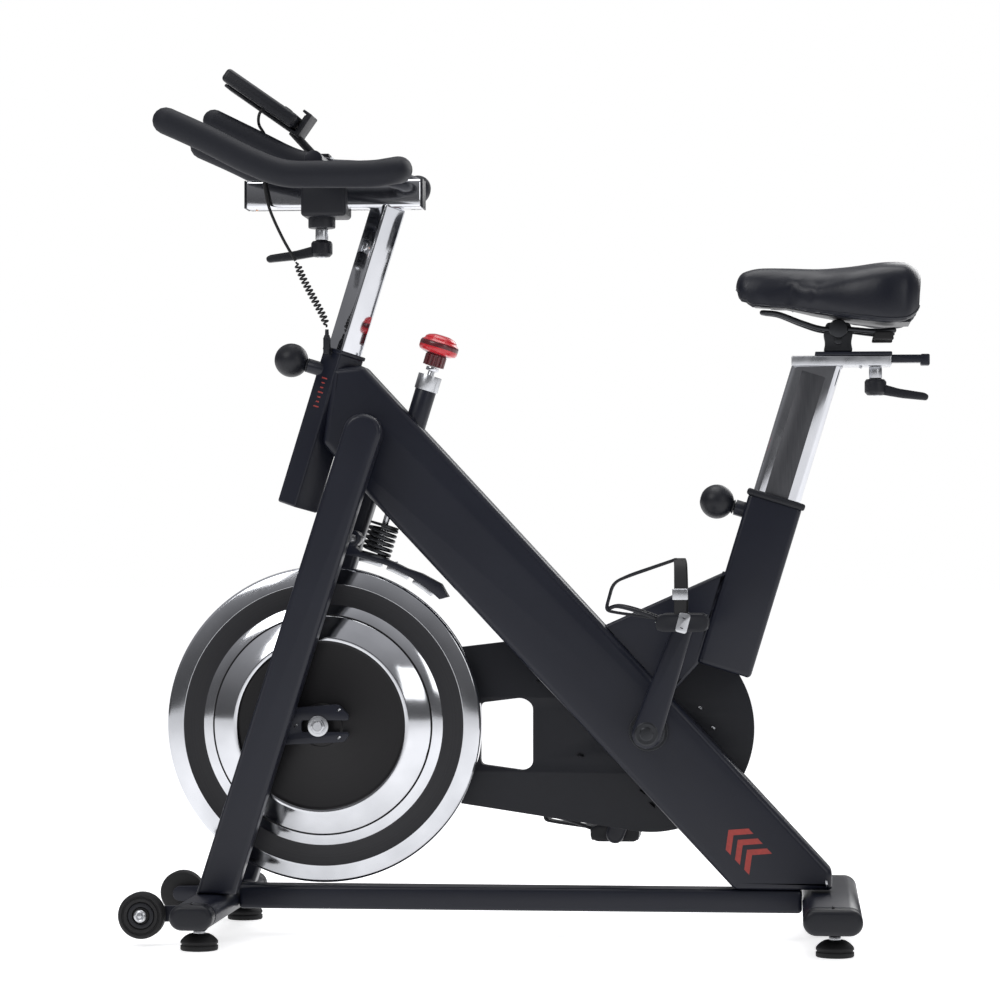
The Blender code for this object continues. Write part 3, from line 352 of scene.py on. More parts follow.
def shaped(name, cage, matrix=Matrix(), angle=38.0):
    """The edit mesh as an object at the origin, its faces outwards."""
    bmesh.ops.transform(cage, matrix=matrix, verts=cage.verts)
    bmesh.ops.recalc_face_normals(cage, faces=cage.faces)
    mesh = bpy.data.meshes.new(name)
    cage.to_mesh(mesh)
    cage.free()
    mesh.shade_smooth()
    mesh.set_sharp_from_angle(angle=math.radians(angle))
    return linked(name, mesh)


def baked(obj, angle=38.0):
    """Apply the modifiers and the matrix; the result is one welded mesh at the origin."""
    bpy.context.view_layer.update()
    graph = bpy.context.evaluated_depsgraph_get()
    mesh = bpy.data.meshes.new_from_object(obj.evaluated_get(graph))
    name, matrix = obj.name, obj.matrix_world.copy()
    bpy.data.objects.remove(obj, do_unlink=True)
    cage = bmesh.new()
    cage.from_mesh(mesh)
    bmesh.ops.remove_doubles(cage, verts=cage.verts, dist=0.000005)
    bpy.data.meshes.remove(mesh)
    return shaped(name, cage, matrix, angle)


def eased(points, radius, steps=3, closed=True):
    """The same line with rounded corners."""
    out, count = [], len(points)
    for i, point in enumerate(points):
        here = Vector(point)
        if not closed and i in (0, count - 1):
            out.append(tuple(here))
            continue
        back, ahead = Vector(points[i - 1]) - here, Vector(points[(i + 1) % count]) - here
        cut = min(radius, back.length * 0.45, ahead.length * 0.45)
        start, end = here + back.normalized() * cut, here + ahead.normalized() * cut
        for step in range(steps + 1):
            t = step / steps
            out.append(tuple(start * (1 - t) ** 2 + here * (2 * t * (1 - t)) + end * t ** 2))
    return out


def side_span(sign, near, far):
    """The lower and the upper Y of two distances out on one side."""
    return sorted((sign * near, sign * far))


def along(start, direction):
    turn = Vector(direction).to_track_quat("Z", "Y").to_matrix().to_4x4()
    return Matrix.Translation(Vector(start)) @ turn


def leaning(origin, turn=0.0):
    return Matrix.Translation(origin) @ Matrix.Rotation(LEAN, 4, "Y") @ Matrix.Rotation(turn, 4, "Z")


HEAD_TURN = leaning(HEAD_TOP, math.pi / 4)  # the head sleeve and its post stand on an edge
SEAT_TURN = leaning(SEAT_TOP)


def on_axis(top, along_up, along_back=0.0, y=0.0):
    return top + UP * along_up + BACK * along_back + Vector((0.0, y, 0.0))


def turned(name, profile, origin, direction, steps=64, closed=False, ease=0.0006):
    """A turned piece: (radius, height) points, spun about the direction."""
    if ease:
        profile = eased(profile, ease, 2, closed)
    cage = bmesh.new()
    spokes = [(math.cos(2 * math.pi * i / steps), math.sin(2 * math.pi * i / steps)) for i in range(steps)]
    rings = []
    for r, h in profile:
        places = [(0.0, 0.0, h)] if r < 1e-6 else [(r * c, r * s, h) for c, s in spokes]
        rings.append([cage.verts.new(place) for place in places])
    pairs = list(zip(rings, rings[1:])) + ([(rings[-1], rings[0])] if closed else [])
    for first, second in pairs:
        for i in range(steps):
            j = (i + 1) % steps
            corners = [first[i % len(first)], first[j % len(first)]]
            corners += [second[j % len(second)], second[i % len(second)]]
            corners = list(dict.fromkeys(corners))
            if len(corners) > 2:
                cage.faces.new(corners)
    return shaped(name, cage, along(origin, direction))


def rod(name, start, end, radius, steps=40, ease=0.0008):
    start, end = Vector(start), Vector(end)
    length = (end - start).length
    profile = [(0.0, length), (radius, length), (radius, 0.0), (0.0, 0.0)]
    return turned(name, profile, start, end - start, steps, ease=ease)


def sleeve(name, start, end, outer, inner, steps=48):
    """A short tube between two points."""
    start, end = Vector(start), Vector(end)
    length = (end - start).length
    profile = [(inner, length), (outer, length), (outer, 0.0), (inner, 0.0)]
    return turned(name, profile, start, end - start, steps, closed=True)


def block(name, low, high, matrix=Matrix(), bevel=0.002, segments=3):
    """A rounded block between two corners, then moved by the matrix."""
    low, high = Vector(low), Vector(high)
    cage = bmesh.new()
    bmesh.ops.create_cube(cage, size=1.0)
    bmesh.ops.scale(cage, vec=high - low, verts=cage.verts)
    bmesh.ops.translate(cage, vec=(low + high) / 2, verts=cage.verts)
    bmesh.ops.bevel(cage, geom=cage.edges[:], offset=bevel, segments=segments, profile=0.5, affect="EDGES")
    return shaped(name, cage, matrix, 50.0)


def plate(name, outlines, y_low, y_high, bevel=0.0, detail=3):
    """Flat outlines in X and Z, the holes after the first, with rounded edges."""
    curve = bpy.data.curves.new(name, "CURVE")
    curve.dimensions = "2D"
    curve.fill_mode = "BOTH"
    curve.bevel_depth = bevel
    curve.bevel_resolution = detail
    curve.offset = -bevel
    curve.extrude = (y_high - y_low) / 2 - bevel
    for outline in outlines:
        spline = curve.splines.new("POLY")
        spline.points.add(len(outline) - 1)
        spline.use_cyclic_u = True
        for point, (x, z) in zip(spline.points, outline):
            point.co = (x, z, 0.0, 1.0)
    obj = linked(name, curve)
    lift = Matrix.Translation((0.0, (y_low + y_high) / 2, 0.0))
    obj.matrix_world = lift @ Matrix.Rotation(math.pi / 2, 4, "X")
    return baked(obj, 50.0 if bevel else 38.0)


def arc(x, z, radius, start, end, count):
    angles = [math.radians(start + (end - start) * i / (count - 1)) for i in range(count)]
    return [(x + radius * math.cos(a), z + radius * math.sin(a)) for a in angles]


def circle(x, z, radius, count=48):
    return arc(x, z, radius, 0.0, 360.0 * (count - 1) / count, count)


def round_link(small, small_radius, big, big_radius, count=72):
    """The outline round two circles, each given by its (x, z) centre."""
    span, rise = big[0] - small[0], big[1] - small[1]
    tilt = math.degrees(math.atan2(rise, span))
    top = 90.0 + math.degrees(math.asin((big_radius - small_radius) / math.hypot(span, rise)))
    big_end = arc(*big, big_radius, tilt - top, tilt + top, count)
    return big_end + arc(*small, small_radius, tilt + top, tilt + 360.0 - top, count // 2)


def smooth_path(points, per_span):
    """A smooth curve through the points."""
    knots = [Vector(p) for p in points]
    knots = [2 * knots[0] - knots[1]] + knots + [2 * knots[-1] - knots[-2]]
    path = []
    for i in range(1, len(knots) - 2):
        a, b, c, d = knots[i - 1:i + 3]
        for step in range(per_span):
            t = step / per_span
            path.append(((2 * b) + (c - a) * t + (2 * a - 5 * b + 4 * c - d) * t * t
                         + (3 * b - a - 3 * c + d) * t * t * t) / 2)
    path.append(knots[-2])
    return path


def even(path, count, trim=0.0):
    """Points at equal steps along a path, the trim left off at both ends."""
    reach = [0.0]
    for a, b in zip(path, path[1:]):
        reach.append(reach[-1] + (b - a).length)
    out, i = [], 0
    for step in range(count):
        goal = trim + (reach[-1] - 2 * trim) * step / (count - 1)
        while i < len(path) - 2 and reach[i + 1] < goal:
            i += 1
        share = (goal - reach[i]) / max(reach[i + 1] - reach[i], 1e-9)
        out.append(path[i].lerp(path[i + 1], share))
    return out


def frames_along(path):
    """A tangent and a steady side direction at each point."""
    last = len(path) - 1
    tangents = [(path[min(i + 1, last)] - path[max(i - 1, 0)]).normalized() for i in range(last + 1)]
    side = tangents[0].orthogonal().normalized()
    out = []
    for tangent in tangents:
        side = (side - tangent * side.dot(tangent)).normalized()
        out.append((tangent, side, tangent.cross(side)))
    return out


def swept(name, path, radius, sides=24, dome=0.0, steps=0):
    """A round bar along a path; dome is how deep its rounded ends are."""
    path = [Vector(p) for p in path]
    path = even(path, steps or len(path), dome)
    radii = [radius] * len(path)
    spans = frames_along(path)
    if dome:
        start, end, first, last = path[0], path[-1], spans[0], spans[-1]
        for turn in (22.0, 44.0, 64.0, 80.0):
            depth = dome * math.sin(math.radians(turn))
            small = radius * math.cos(math.radians(turn))
            path = [start - first[0] * depth] + path + [end + last[0] * depth]
            spans = [first] + spans + [last]
            radii = [small] + radii + [small]
    cage = bmesh.new()
    rings = []
    for middle, size, (tangent, side, other) in zip(path, radii, spans):
        ring = []
        for k in range(sides):
            turn = 2 * math.pi * k / sides
            ring.append(cage.verts.new(middle + (side * math.cos(turn) + other * math.sin(turn)) * size))
        rings.append(ring)
    for first, second in zip(rings, rings[1:]):
        for k in range(sides):
            j = (k + 1) % sides
            cage.faces.new((first[k], first[j], second[j], second[k]))
    cage.faces.new(reversed(rings[0]))
    cage.faces.new(rings[-1])
    return shaped(name, cage)


def carve(piece, *cutters):
    """Cut shapes out of a piece, or join them to it where the pair says so."""
    for cutter in cutters:
        tool, operation = cutter if isinstance(cutter, tuple) else (cutter, "DIFFERENCE")
        step = piece.modifiers.new("step", "BOOLEAN")
        step.operation, step.object = operation, tool
        piece = baked(piece, 42.0)
        bpy.data.objects.remove(tool, do_unlink=True)
    return piece


def loft(name, sections, angle=180.0):
    cage = bmesh.new()
    rings = [[cage.verts.new(point) for point in section] for section in sections]
    count = len(rings[0])
    for first, second in zip(rings, rings[1:]):
        for i in range(count):
            j = (i + 1) % count
            cage.faces.new((first[i], first[j], second[j], second[i]))
    cage.faces.new(reversed(rings[0]))
    cage.faces.new(rings[-1])
    return shaped(name, cage, angle=angle)


# ---------------------------------------------------------------- pieces that repeat
def tree(name, sizes):
    """A node tree with named number inputs, and helpers to build in it."""
    group = bpy.data.node_groups.new(name, "GeometryNodeTree")
    face = group.interface
    face.new_socket("Geometry", in_out="INPUT", socket_type="NodeSocketGeometry")
    for label, value in sizes.items():
        face.new_socket(label, in_out="INPUT", socket_type="NodeSocketFloat").default_value = value
    face.new_socket("Material", in_out="INPUT", socket_type="NodeSocketMaterial")
    face.new_socket("Geometry", in_out="OUTPUT", socket_type="NodeSocketGeometry")
    source, sink = group.nodes.new("NodeGroupInput"), group.nodes.new("NodeGroupOutput")

    def add(kind, settings=None, **values):
        made = group.nodes.new(kind)
        for key, value in (settings or {}).items():
            setattr(made, key, value)
        for key, value in values.items():
            socket = made.inputs[key.replace("_", " ")]
            if isinstance(value, bpy.types.NodeSocket):
                group.links.new(value, socket)
            else:
                socket.default_value = value
        return made

    def close(geometry):
        real = add("GeometryNodeRealizeInstances", Geometry=geometry)
        coat = add("GeometryNodeSetMaterial", Geometry=real.outputs[0], Material=source.outputs["Material"])
        group.links.new(coat.outputs[0], sink.inputs[0])
        return group

    return source, add, close


def screw_tree():
    """A socket screw on every point: a domed rim with a sunk hexagonal middle."""
    source, add, close = tree("socket_screws", {"Radius": 0.004, "Height": 0.002})
    rim = add("GeometryNodeMeshCone", {"fill_type": "NGON"}, Vertices=20, Side_Segments=3,
              Radius_Top=0.72, Radius_Bottom=1.0, Depth=1.0)
    shank = add("GeometryNodeMeshCylinder", {"fill_type": "NGON"}, Vertices=6, Radius=0.42, Depth=0.6)
    lifted = add("GeometryNodeTransform", Geometry=shank.outputs[0], Translation=(0.0, 0.0, 0.78))
    both = add("GeometryNodeMeshBoolean", {"operation": "DIFFERENCE"}, Mesh_1=rim.outputs[0])
    both.id_data.links.new(lifted.outputs[0], both.inputs["Mesh 2"])
    size = add("ShaderNodeCombineXYZ", X=source.outputs["Radius"], Y=source.outputs["Radius"],
               Z=source.outputs["Height"])
    normal = add("GeometryNodeInputNormal")
    turn = add("FunctionNodeAlignRotationToVector", {"axis": "Z"}, Vector=normal.outputs[0])
    spread = add("GeometryNodeInstanceOnPoints", Points=source.outputs["Geometry"], Instance=both.outputs[0],
                 Rotation=turn.outputs[0], Scale=size.outputs[0])
    return close(spread.outputs[0])


def coil_tree():
    """A round wire wound into a spring of given turns."""
    source, add, close = tree("wound_wire", {"Turns": 6.0, "Radius": 0.02, "Height": 0.045, "Wire": 0.003})
    line = add("GeometryNodeCurveSpiral", Resolution=40, Rotations=source.outputs["Turns"],
               Start_Radius=source.outputs["Radius"], End_Radius=source.outputs["Radius"],
               Height=source.outputs["Height"])
    ring = add("GeometryNodeCurvePrimitiveCircle", Resolution=14, Radius=source.outputs["Wire"])
    wire = add("GeometryNodeCurveToMesh", Curve=line.outputs[0], Profile_Curve=ring.outputs[0], Fill_Caps=True)
    smooth = add("GeometryNodeSetShadeSmooth", Geometry=wire.outputs[0])
    return close(smooth.outputs[0])


def rib_tree():
    """Small round ribs standing in a ring, for knurled and scalloped rims."""
    source, add, close = tree("ring_of_ribs", {"Count": 24.0, "Ring": 0.015, "Rib": 0.001, "Length": 0.010})
    count = add("FunctionNodeFloatToInt", Float=source.outputs["Count"])
    ring = add("GeometryNodeMeshCircle", Vertices=count.outputs[0], Radius=source.outputs["Ring"])
    rib = add("GeometryNodeMeshCylinder", {"fill_type": "NGON"}, Vertices=8, Radius=source.outputs["Rib"],
              Depth=source.outputs["Length"])
    spread = add("GeometryNodeInstanceOnPoints", Points=ring.outputs[0], Instance=rib.outputs[0])
    return close(spread.outputs[0])


TREES = {"screws": screw_tree(), "coil": coil_tree(), "ribs": rib_tree()}


def grown(name, kind, look, points=(), matrix=Matrix(), **sizes):
    """Run one of the trees and keep its result as a plain mesh."""
    mesh = bpy.data.meshes.new(name)
    cage = bmesh.new()
    for place, normal in points:
        vert = cage.verts.new(place)
        vert.normal = normal
    cage.to_mesh(mesh)
    cage.free()
    obj = linked(name, mesh)
    obj.matrix_world = matrix
    modifier = obj.modifiers.new("grow", "NODES")
    modifier.node_group = TREES[kind]
    for item in TREES[kind].interface.items_tree:
        if item.in_out == "INPUT" and item.name in sizes:
            modifier[item.identifier] = sizes[item.name]
        elif item.in_out == "INPUT" and item.name == "Material":
            modifier[item.identifier] = LOOKS[look][1]
    return baked(obj)


def screws(name, body, look, places, direction, radius, height):
    """A row of socket screws that face one way, set on their seats."""
    turn = along((0.0, 0.0, 0.0), direction)
    back = turn.inverted()
    points = [(back @ Vector(place), (0.0, 0.0, 1.0)) for place in places]
    return put(grown(name, "screws", look, points, turn, Radius=radius, Height=height), body, look)


# ---------------------------------------------------------------- camera, floor and light
CAMERA_AT, CAMERA_TURN = (0.3767, -4.8090, 0.5676), (math.pi / 2 + 0.0148, 0.0, 0.0878)
LENS, SENSOR = 118.5, 36.0
FLOOR_GLOW = 0.68                           # keeps the floor as white as the backdrop
AIM = Vector((0.0, 0.0, 0.6))
LAMPS = (("key", (-2.0, -2.6, 3.0), 1.6, 40.0), ("fill", (2.8, -2.8, 1.8), 1.4, 15.0),
         ("top", (0.1, 0.2, 3.4), 2.2, 44.0), ("rim", (1.4, 2.8, 2.1), 1.6, 30.0))


def make_stage():
    """The side view from the rider's left, a pale floor and soft lamps."""
    camera = bpy.data.objects.new("camera", bpy.data.cameras.new("camera"))
    bpy.context.scene.collection.objects.link(camera)
    camera.location, camera.rotation_euler = CAMERA_AT, CAMERA_TURN
    camera.data.lens, camera.data.sensor_width = LENS, SENSOR
    bpy.context.scene.camera = camera

    floor = linked("pale_floor", bpy.data.meshes.new("pale_floor"))
    cage = bmesh.new()
    bmesh.ops.create_grid(cage, x_segments=1, y_segments=1, size=40.0)
    cage.to_mesh(floor.data)
    cage.free()
    coat = Coat("pale_floor", (0.86, 0.86, 0.87), 0.55)
    coat.varied(0.8, (0.85, 0.85, 0.86), (0.88, 0.88, 0.885), 0.5, 0.6)
    coat.shader.inputs["Emission Color"].default_value = (1.0, 1.0, 1.0, 1.0)
    coat.shader.inputs["Emission Strength"].default_value = FLOOR_GLOW
    floor.data.materials.append(coat.material)

    for name, where, size, power in LAMPS:
        light = bpy.data.lights.new(name, "AREA")
        light.size, light.energy = size, power
        lamp = bpy.data.objects.new(name, light)
        bpy.context.scene.collection.objects.link(lamp)
        lamp.matrix_world = along(where, Vector(where) - AIM)
    make_sky()
    bpy.context.scene.view_settings.view_transform = "Standard"


def make_sky():
    """A white backdrop; what the metal mirrors is a darker room with a bright ceiling."""
    world = bpy.data.worlds.new("studio")
    world.use_nodes = True
    nodes, links = world.node_tree.nodes, world.node_tree.links
    room, seen = nodes["Background"], nodes.new("ShaderNodeBackground")
    seen.inputs["Color"].default_value = (1.0, 1.0, 1.0, 1.0)
    ramp = nodes.new("ShaderNodeValToRGB")
    for index, (place, level) in enumerate(((0.0, 0.30), (0.46, 0.07), (0.60, 0.16), (1.0, 0.70))):
        stop = ramp.color_ramp.elements[index] if index < 2 else ramp.color_ramp.elements.new(place)
        stop.position, stop.color = place, (level, level, level * 1.04, 1.0)
    place, parts, height = (nodes.new(kind) for kind in ("ShaderNodeTexCoord", "ShaderNodeSeparateXYZ",
                                                         "ShaderNodeMapRange"))
    height.inputs["From Min"].default_value = -1.0
    links.new(place.outputs["Generated"], parts.inputs[0])
    links.new(parts.outputs["Z"], height.inputs["Value"])
    links.new(height.outputs[0], ramp.inputs[0])
    links.new(ramp.outputs[0], room.inputs["Color"])
    path, blend = nodes.new("ShaderNodeLightPath"), nodes.new("ShaderNodeMixShader")
    links.new(path.outputs["Is Camera Ray"], blend.inputs[0])
    links.new(room.outputs[0], blend.inputs[1])
    links.new(seen.outputs[0], blend.inputs[2])
    links.new(blend.outputs[0], nodes["World Output"].inputs["Surface"])
    bpy.context.scene.world = world


# ---------------------------------------------------------------- the sensor lead
LEAD_ROUTE = [(-0.3920, -0.0440, 1.2120), (-0.3975, -0.0430, 1.2030), (-0.3990, -0.0330, 1.1900),
              (-0.3930, -0.0150, 1.1760), (-0.3900, -0.0120, 1.1500), (-0.3930, -0.0260, 1.1220),
              (-0.3900, -0.0300, 1.0950), (-0.3830, -0.0310, 1.0650), (-0.3650, -0.0310, 1.0250),
              (-0.3450, -0.0318, 0.9900)]
CURL_ROUTE = [(-0.3446, -0.0318, 0.9893), (-0.3330, -0.0290, 0.9620), (-0.3180, -0.0250, 0.9330),
              (-0.3050, -0.0215, 0.9080), (-0.2999, -0.0209, 0.8915)]
PLUG_FOOT = Vector((-0.2999, -0.0209, 0.8526))
CURL_TURNS, CURL_WIRE, CURL_RADIUS = 17, 0.00145, 0.0044
CURL_STEPS, CURL_EASE = 24, 36              # points in a turn, and over which the curl opens and closes


def path_length(path):
    return sum((b - a).length for a, b in zip(path, path[1:]))


def make_lead():
    """The straight lead down from the display, its curly run and its plug."""
    straight = even(smooth_path(LEAD_ROUTE, 8), 61)
    lead = put(swept("sensor_lead", straight, 0.0022, 14), None, "rubber", "console_lead")
    middle = even(smooth_path(CURL_ROUTE, 10), CURL_STEPS * CURL_TURNS + 1, 0.0012)
    helix = []
    for i, (at, (tangent, side, other)) in enumerate(zip(middle, frames_along(middle))):
        turn = 2 * math.pi * i / CURL_STEPS
        ramp = min(1.0, i / CURL_EASE, (len(middle) - 1 - i) / CURL_EASE)
        ramp = ramp * ramp * (3 - 2 * ramp)
        helix.append(at + (side * math.cos(turn) + other * math.sin(turn)) * CURL_RADIUS * ramp)
    curl = put(swept("curly_lead_run", helix, CURL_WIRE, 8), None, "rubber", "curly_lead")
    profile = [(0.0, 0.0370), (0.0026, 0.0370), (0.0030, 0.0290), (0.0042, 0.0280), (0.0046, 0.0255),
               (0.0055, 0.0245), (0.0055, 0.0), (0.0, 0.0)]
    plug = put(turned("lead_plug_body", profile, PLUG_FOOT, (0, 0, 1), 32, ease=0.0004), "frame", "plastic",
               "lead_plug")
    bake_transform(lead)
    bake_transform(curl)
    path_length(straight)
    path_length(helix)


# ---------------------------------------------------------------- welded frame
def make_frame():
    """The welded frame with its fork and printed marks."""
    make_beam()
    make_head_sleeve()
    make_seat_sleeve()
    make_fork()
    make_prints()


def make_beam():
    """The slanting beam with the fork crown and the brake's guide tube."""
    side = eased([(-0.2455, 0.836), (-0.2900, 0.832), (-0.3050, 0.722), *BEAM_UNDER,
                  (0.4370, 0.0746), (0.4370, 0.1020)], 0.006)
    beam = plate("main_beam_tube", [side], -BEAM_HALF, BEAM_HALF, 0.0095, 5)
    crown = rod("crown", (LEG_HEAD.x, -0.0675, LEG_HEAD.z), (LEG_HEAD.x, 0.0675, LEG_HEAD.z), 0.023, 48)
    guide = rod("guide", BRAKE_TOP - UP * 0.200, BRAKE_TOP - UP * 0.0576, 0.0156, 48)
    seat = block("head_seat", (-0.0226, -0.0226, -0.260), (0.0226, 0.0226, 0.030), HEAD_TURN)
    bore = rod("guide_bore", BRAKE_TOP - UP * 0.330, BRAKE_TOP + UP * 0.010, 0.0056)
    crank_bore = rod("crank_bore", (CRANK.x, -0.060, CRANK.z), (CRANK.x, 0.060, CRANK.z), 0.0200)
    beam = carve(beam, (crown, "UNION"), (guide, "UNION"), seat, bore, crank_bore)
    put(beam, "frame", "paint", "main_beam")
    low, high = BRAKE_TOP - UP * 0.0606, BRAKE_TOP - UP * 0.0376
    put(sleeve("brake_guide_collar", low, high, 0.0175, 0.0056), "frame", "steel")


def make_head_sleeve():
    """The square sleeve that the handlebar post slides in, with its lip and pin boss."""
    turn = HEAD_TURN
    drop = -HEAD_PIN_DROP
    head = block("head_sleeve", (-0.0225, -0.0225, -0.240), (0.0225, 0.0225, -0.004), turn, 0.0035, 4)
    lip = block("head_lip", (-0.0235, -0.0235, -0.006), (0.0235, 0.0235, 0.0), turn, 0.0015)
    boss = rod("head_boss", on_axis(HEAD_TOP, drop, -0.020), on_axis(HEAD_TOP, drop, -0.0455), 0.0105)
    bore = block("head_bore", (-0.0195, -0.0195, -0.300), (0.0195, 0.0195, 0.050), turn)
    pin_hole = rod("head_pin_hole", on_axis(HEAD_TOP, drop, -0.010), on_axis(HEAD_TOP, drop, -0.060), 0.0054)
    put(carve(head, (boss, "UNION"), (lip, "UNION"), bore, pin_hole), "frame", "paint", "head_tube")


def make_seat_sleeve():
    """The seat sleeve with its lip ring and pin boss, the gusset under it and the floor rail."""
    turn = SEAT_TURN
    drop = -SEAT_PIN_DROP
    seat = block("seat_sleeve", (-0.040, -0.023, -0.265), (0.040, 0.023, -0.006), turn, 0.007, 5)
    lip = block("seat_lip_ring", (-0.0435, -0.026, -0.0100), (0.0435, 0.026, 0.0), turn, 0.0035, 4)
    boss = rod("seat_boss", on_axis(SEAT_TOP, drop, -0.034), on_axis(SEAT_TOP, drop, -0.054), 0.0115)
    bore = block("seat_bore", (-0.0355, -0.0185, -0.320), (0.0355, 0.0185, 0.050), turn, 0.004)
    lip_bore = block("lip_bore", (-0.0355, -0.0185, -0.100), (0.0355, 0.0185, 0.050), turn, 0.004)
    pin_hole = rod("seat_pin_hole", on_axis(SEAT_TOP, drop, -0.020), on_axis(SEAT_TOP, drop, -0.070), 0.0054)
    put(carve(seat, (boss, "UNION"), bore, pin_hole), "frame", "paint", "seat_tube")
    put(carve(lip, lip_bore), "frame", "plastic")

    gusset = eased([(0.1990, 0.3505), (0.2440, 0.4000), (0.2850, 0.5355), (0.1040, 0.4545)], 0.002)
    put(plate("seat_gusset_plate", [gusset], -0.021, 0.021, 0.005, 4), "frame", "paint", "seat_gusset")
    put(block("floor_rail_tube", (-0.4292, -0.025, 0.040), (0.3937, 0.025, 0.0743), bevel=0.006, segments=4),
        "frame", "paint", "floor_rail")
    screws("beam_foot_bolt", "frame", "steel", [(0.4280, -0.0329, 0.0850)], NEAR, 0.0052, 0.0028)


def make_fork():
    """Two legs with slotted plates, axle nuts and the chain adjusters' little screws."""
    run = (LEG_HEAD - LEG_FOOT).normalized()
    across = Vector((run.z, 0.0, -run.x)) * LEG_WIDTH / 2
    slope = math.degrees(math.atan2(run.z, run.x))
    shift = LEG_WIDTH / 2 / run.z
    side = [(LEG_FOOT.x - shift, LEG_FOOT.z), (LEG_FOOT.x + shift, LEG_FOOT.z)]
    side += [(LEG_HEAD.x + across.x, LEG_HEAD.z + across.z)]
    side += arc(LEG_HEAD.x, LEG_HEAD.z, LEG_WIDTH / 2, slope - 84.0, slope + 84.0, 26)
    side += [(LEG_HEAD.x - across.x, LEG_HEAD.z - across.z)]
    slot = 0.0085
    dropout = [(-0.3950, 0.2810), (-0.2680, 0.2870), (-0.2610, 0.2960), (-0.2610, WHEEL.z - slot),
               (-0.3300, WHEEL.z - slot), (-0.3300, WHEEL.z + slot), (-0.2610, WHEEL.z + slot),
               (-0.2610, 0.3270), (-0.2760, 0.3420), (-0.3880, 0.3330)]
    for name, sign in SIDES:
        low, high = side_span(sign, 0.068, 0.106)
        put(plate("fork_leg_tube_" + name, [side], low, high, 0.0075, 5), "frame", "paint", "fork_leg_" + name)
        low, high = side_span(sign, 0.0617, 0.0690)
        put(plate("fork_dropout_" + name, [eased(dropout, 0.0035)], low, high, 0.0008, 2), "frame", "paint")
        face = sign * 0.0690
        screws("dropout_screws_" + name, "frame", "steel",
               [(-0.3480, face, WHEEL.z), (-0.3370, face, WHEEL.z), (-0.2745, face, 0.3330),
                (-0.2745, face, 0.2930)], (0, sign, 0), 0.0036, 0.0022)
        put(turned("axle_washer_" + name, [(0.0072, 0.0028), (0.0150, 0.0024), (0.0150, 0.0), (0.0072, 0.0)],
                   (WHEEL.x, sign * 0.0692, WHEEL.z),
                   (0, sign, 0), closed=True, ease=0.0003), "frame", "steel")
    axle = [(0.0, 0.0800), (0.0062, 0.0800), (0.0070, 0.0790), (0.0070, -0.0790), (0.0062, -0.0800),
            (0.0, -0.0800)]
    axle = turned("flywheel_axle_bar", axle, WHEEL, NEAR, 40, ease=0.0)
    put(axle, "frame", "steel", "flywheel_axle")
    for name, sign in SIDES:
        hexagon = [(0.0108 * math.cos(math.pi * k / 3), 0.0108 * math.sin(math.pi * k / 3)) for k in range(6)]
        outline = eased([(WHEEL.x + x, WHEEL.z + z) for x, z in hexagon], 0.0010)
        nut = plate("axle_nut_" + name, [outline], *side_span(sign, 0.0700, 0.0772), 0.0007, 2)
        put(nut, "frame", "steel")


def make_prints():
    """Generic red marks: three slanted bars low on the beam and a row of ticks on the head sleeve."""
    (high_x, high_z), (low_x, low_z) = BEAM_UNDER
    slope = math.atan2(low_z - high_z, low_x - high_x)
    ahead = Vector((math.cos(slope), 0.0, math.sin(slope)))
    up = Vector((-math.sin(slope), 0.0, math.cos(slope)))
    middle = Vector((0.3110, 0.0, 0.1365))
    bars = []
    for k in range(3):
        centre = middle + ahead * (k - 1) * 0.0195
        for half in (-1, 1):
            tip, root = centre - ahead * 0.0090, centre + ahead * 0.0090 + up * half * 0.0225
            width = ahead * 0.0052
            bars.append([tip - width, tip + width, root + width, root - width])
    for index, corners in enumerate(bars):
        outline = [(corner.x, corner.z) for corner in corners]
        put(plate(f"beam_mark_{index + 1}", [outline], -0.03322, -0.03285), "frame", "print")
    for index in range(7):
        height = -0.046 - 0.0072 * index
        wide = 0.0065 if index % 3 == 0 else 0.0040
        put(block(f"height_tick_{index + 1}", (-0.02268, -0.0020 - wide, height - 0.0010),
                  (-0.02230, -0.0020 + wide, height + 0.0010), HEAD_TURN, 0.00008, 1), "frame", "print")


# ---------------------------------------------------------------- floor bars, feet and rollers
def make_floor_bars():
    bars = (("front", -0.4605, 0.050, 0.062, 0.036), ("rear", 0.4355, 0.052, 0.083, 0.037))
    for name, x, z, width, height in bars:
        radius, reach = height / 2, (width - height) / 2
        side = arc(x + reach, z, radius, -90.0, 90.0, 18) + arc(x - reach, z, radius, 90.0, 270.0, 18)
        bar = plate(name + "_floor_bar", [side], -0.2147, 0.2147, 0.0008, 1)
        put(bar, "frame", "paint", name + "_stabilizer")
        for label, sign in SIDES:
            low, high = side_span(sign, 0.2150, 0.2499)
            cap = plate(f"{name}_end_cap_{label}", [side], low, high, 0.0075, 5)
            put(cap, "frame", "plastic", f"{name}_cap_{label}")
            screws(f"{name}_cap_screw_{label}", "frame", "black_steel",
                   [(x, sign * 0.2320, z + radius)], (0, 0, 1), 0.0040, 0.0016)
            top = (FOOT_X[name], sign * FOOT_Y, z - radius - 0.0020)
            profile = [(0.0056, 0.0030), (0.0095, 0.0026), (0.0120, 0.0), (0.0056, 0.0)]
            put(turned(f"{name}_foot_collar_{label}", profile, top, (0, 0, -1), closed=True, ease=0.0003),
                "frame", "plastic")
            if name == "front":
                make_roller_arm(label, sign, x)


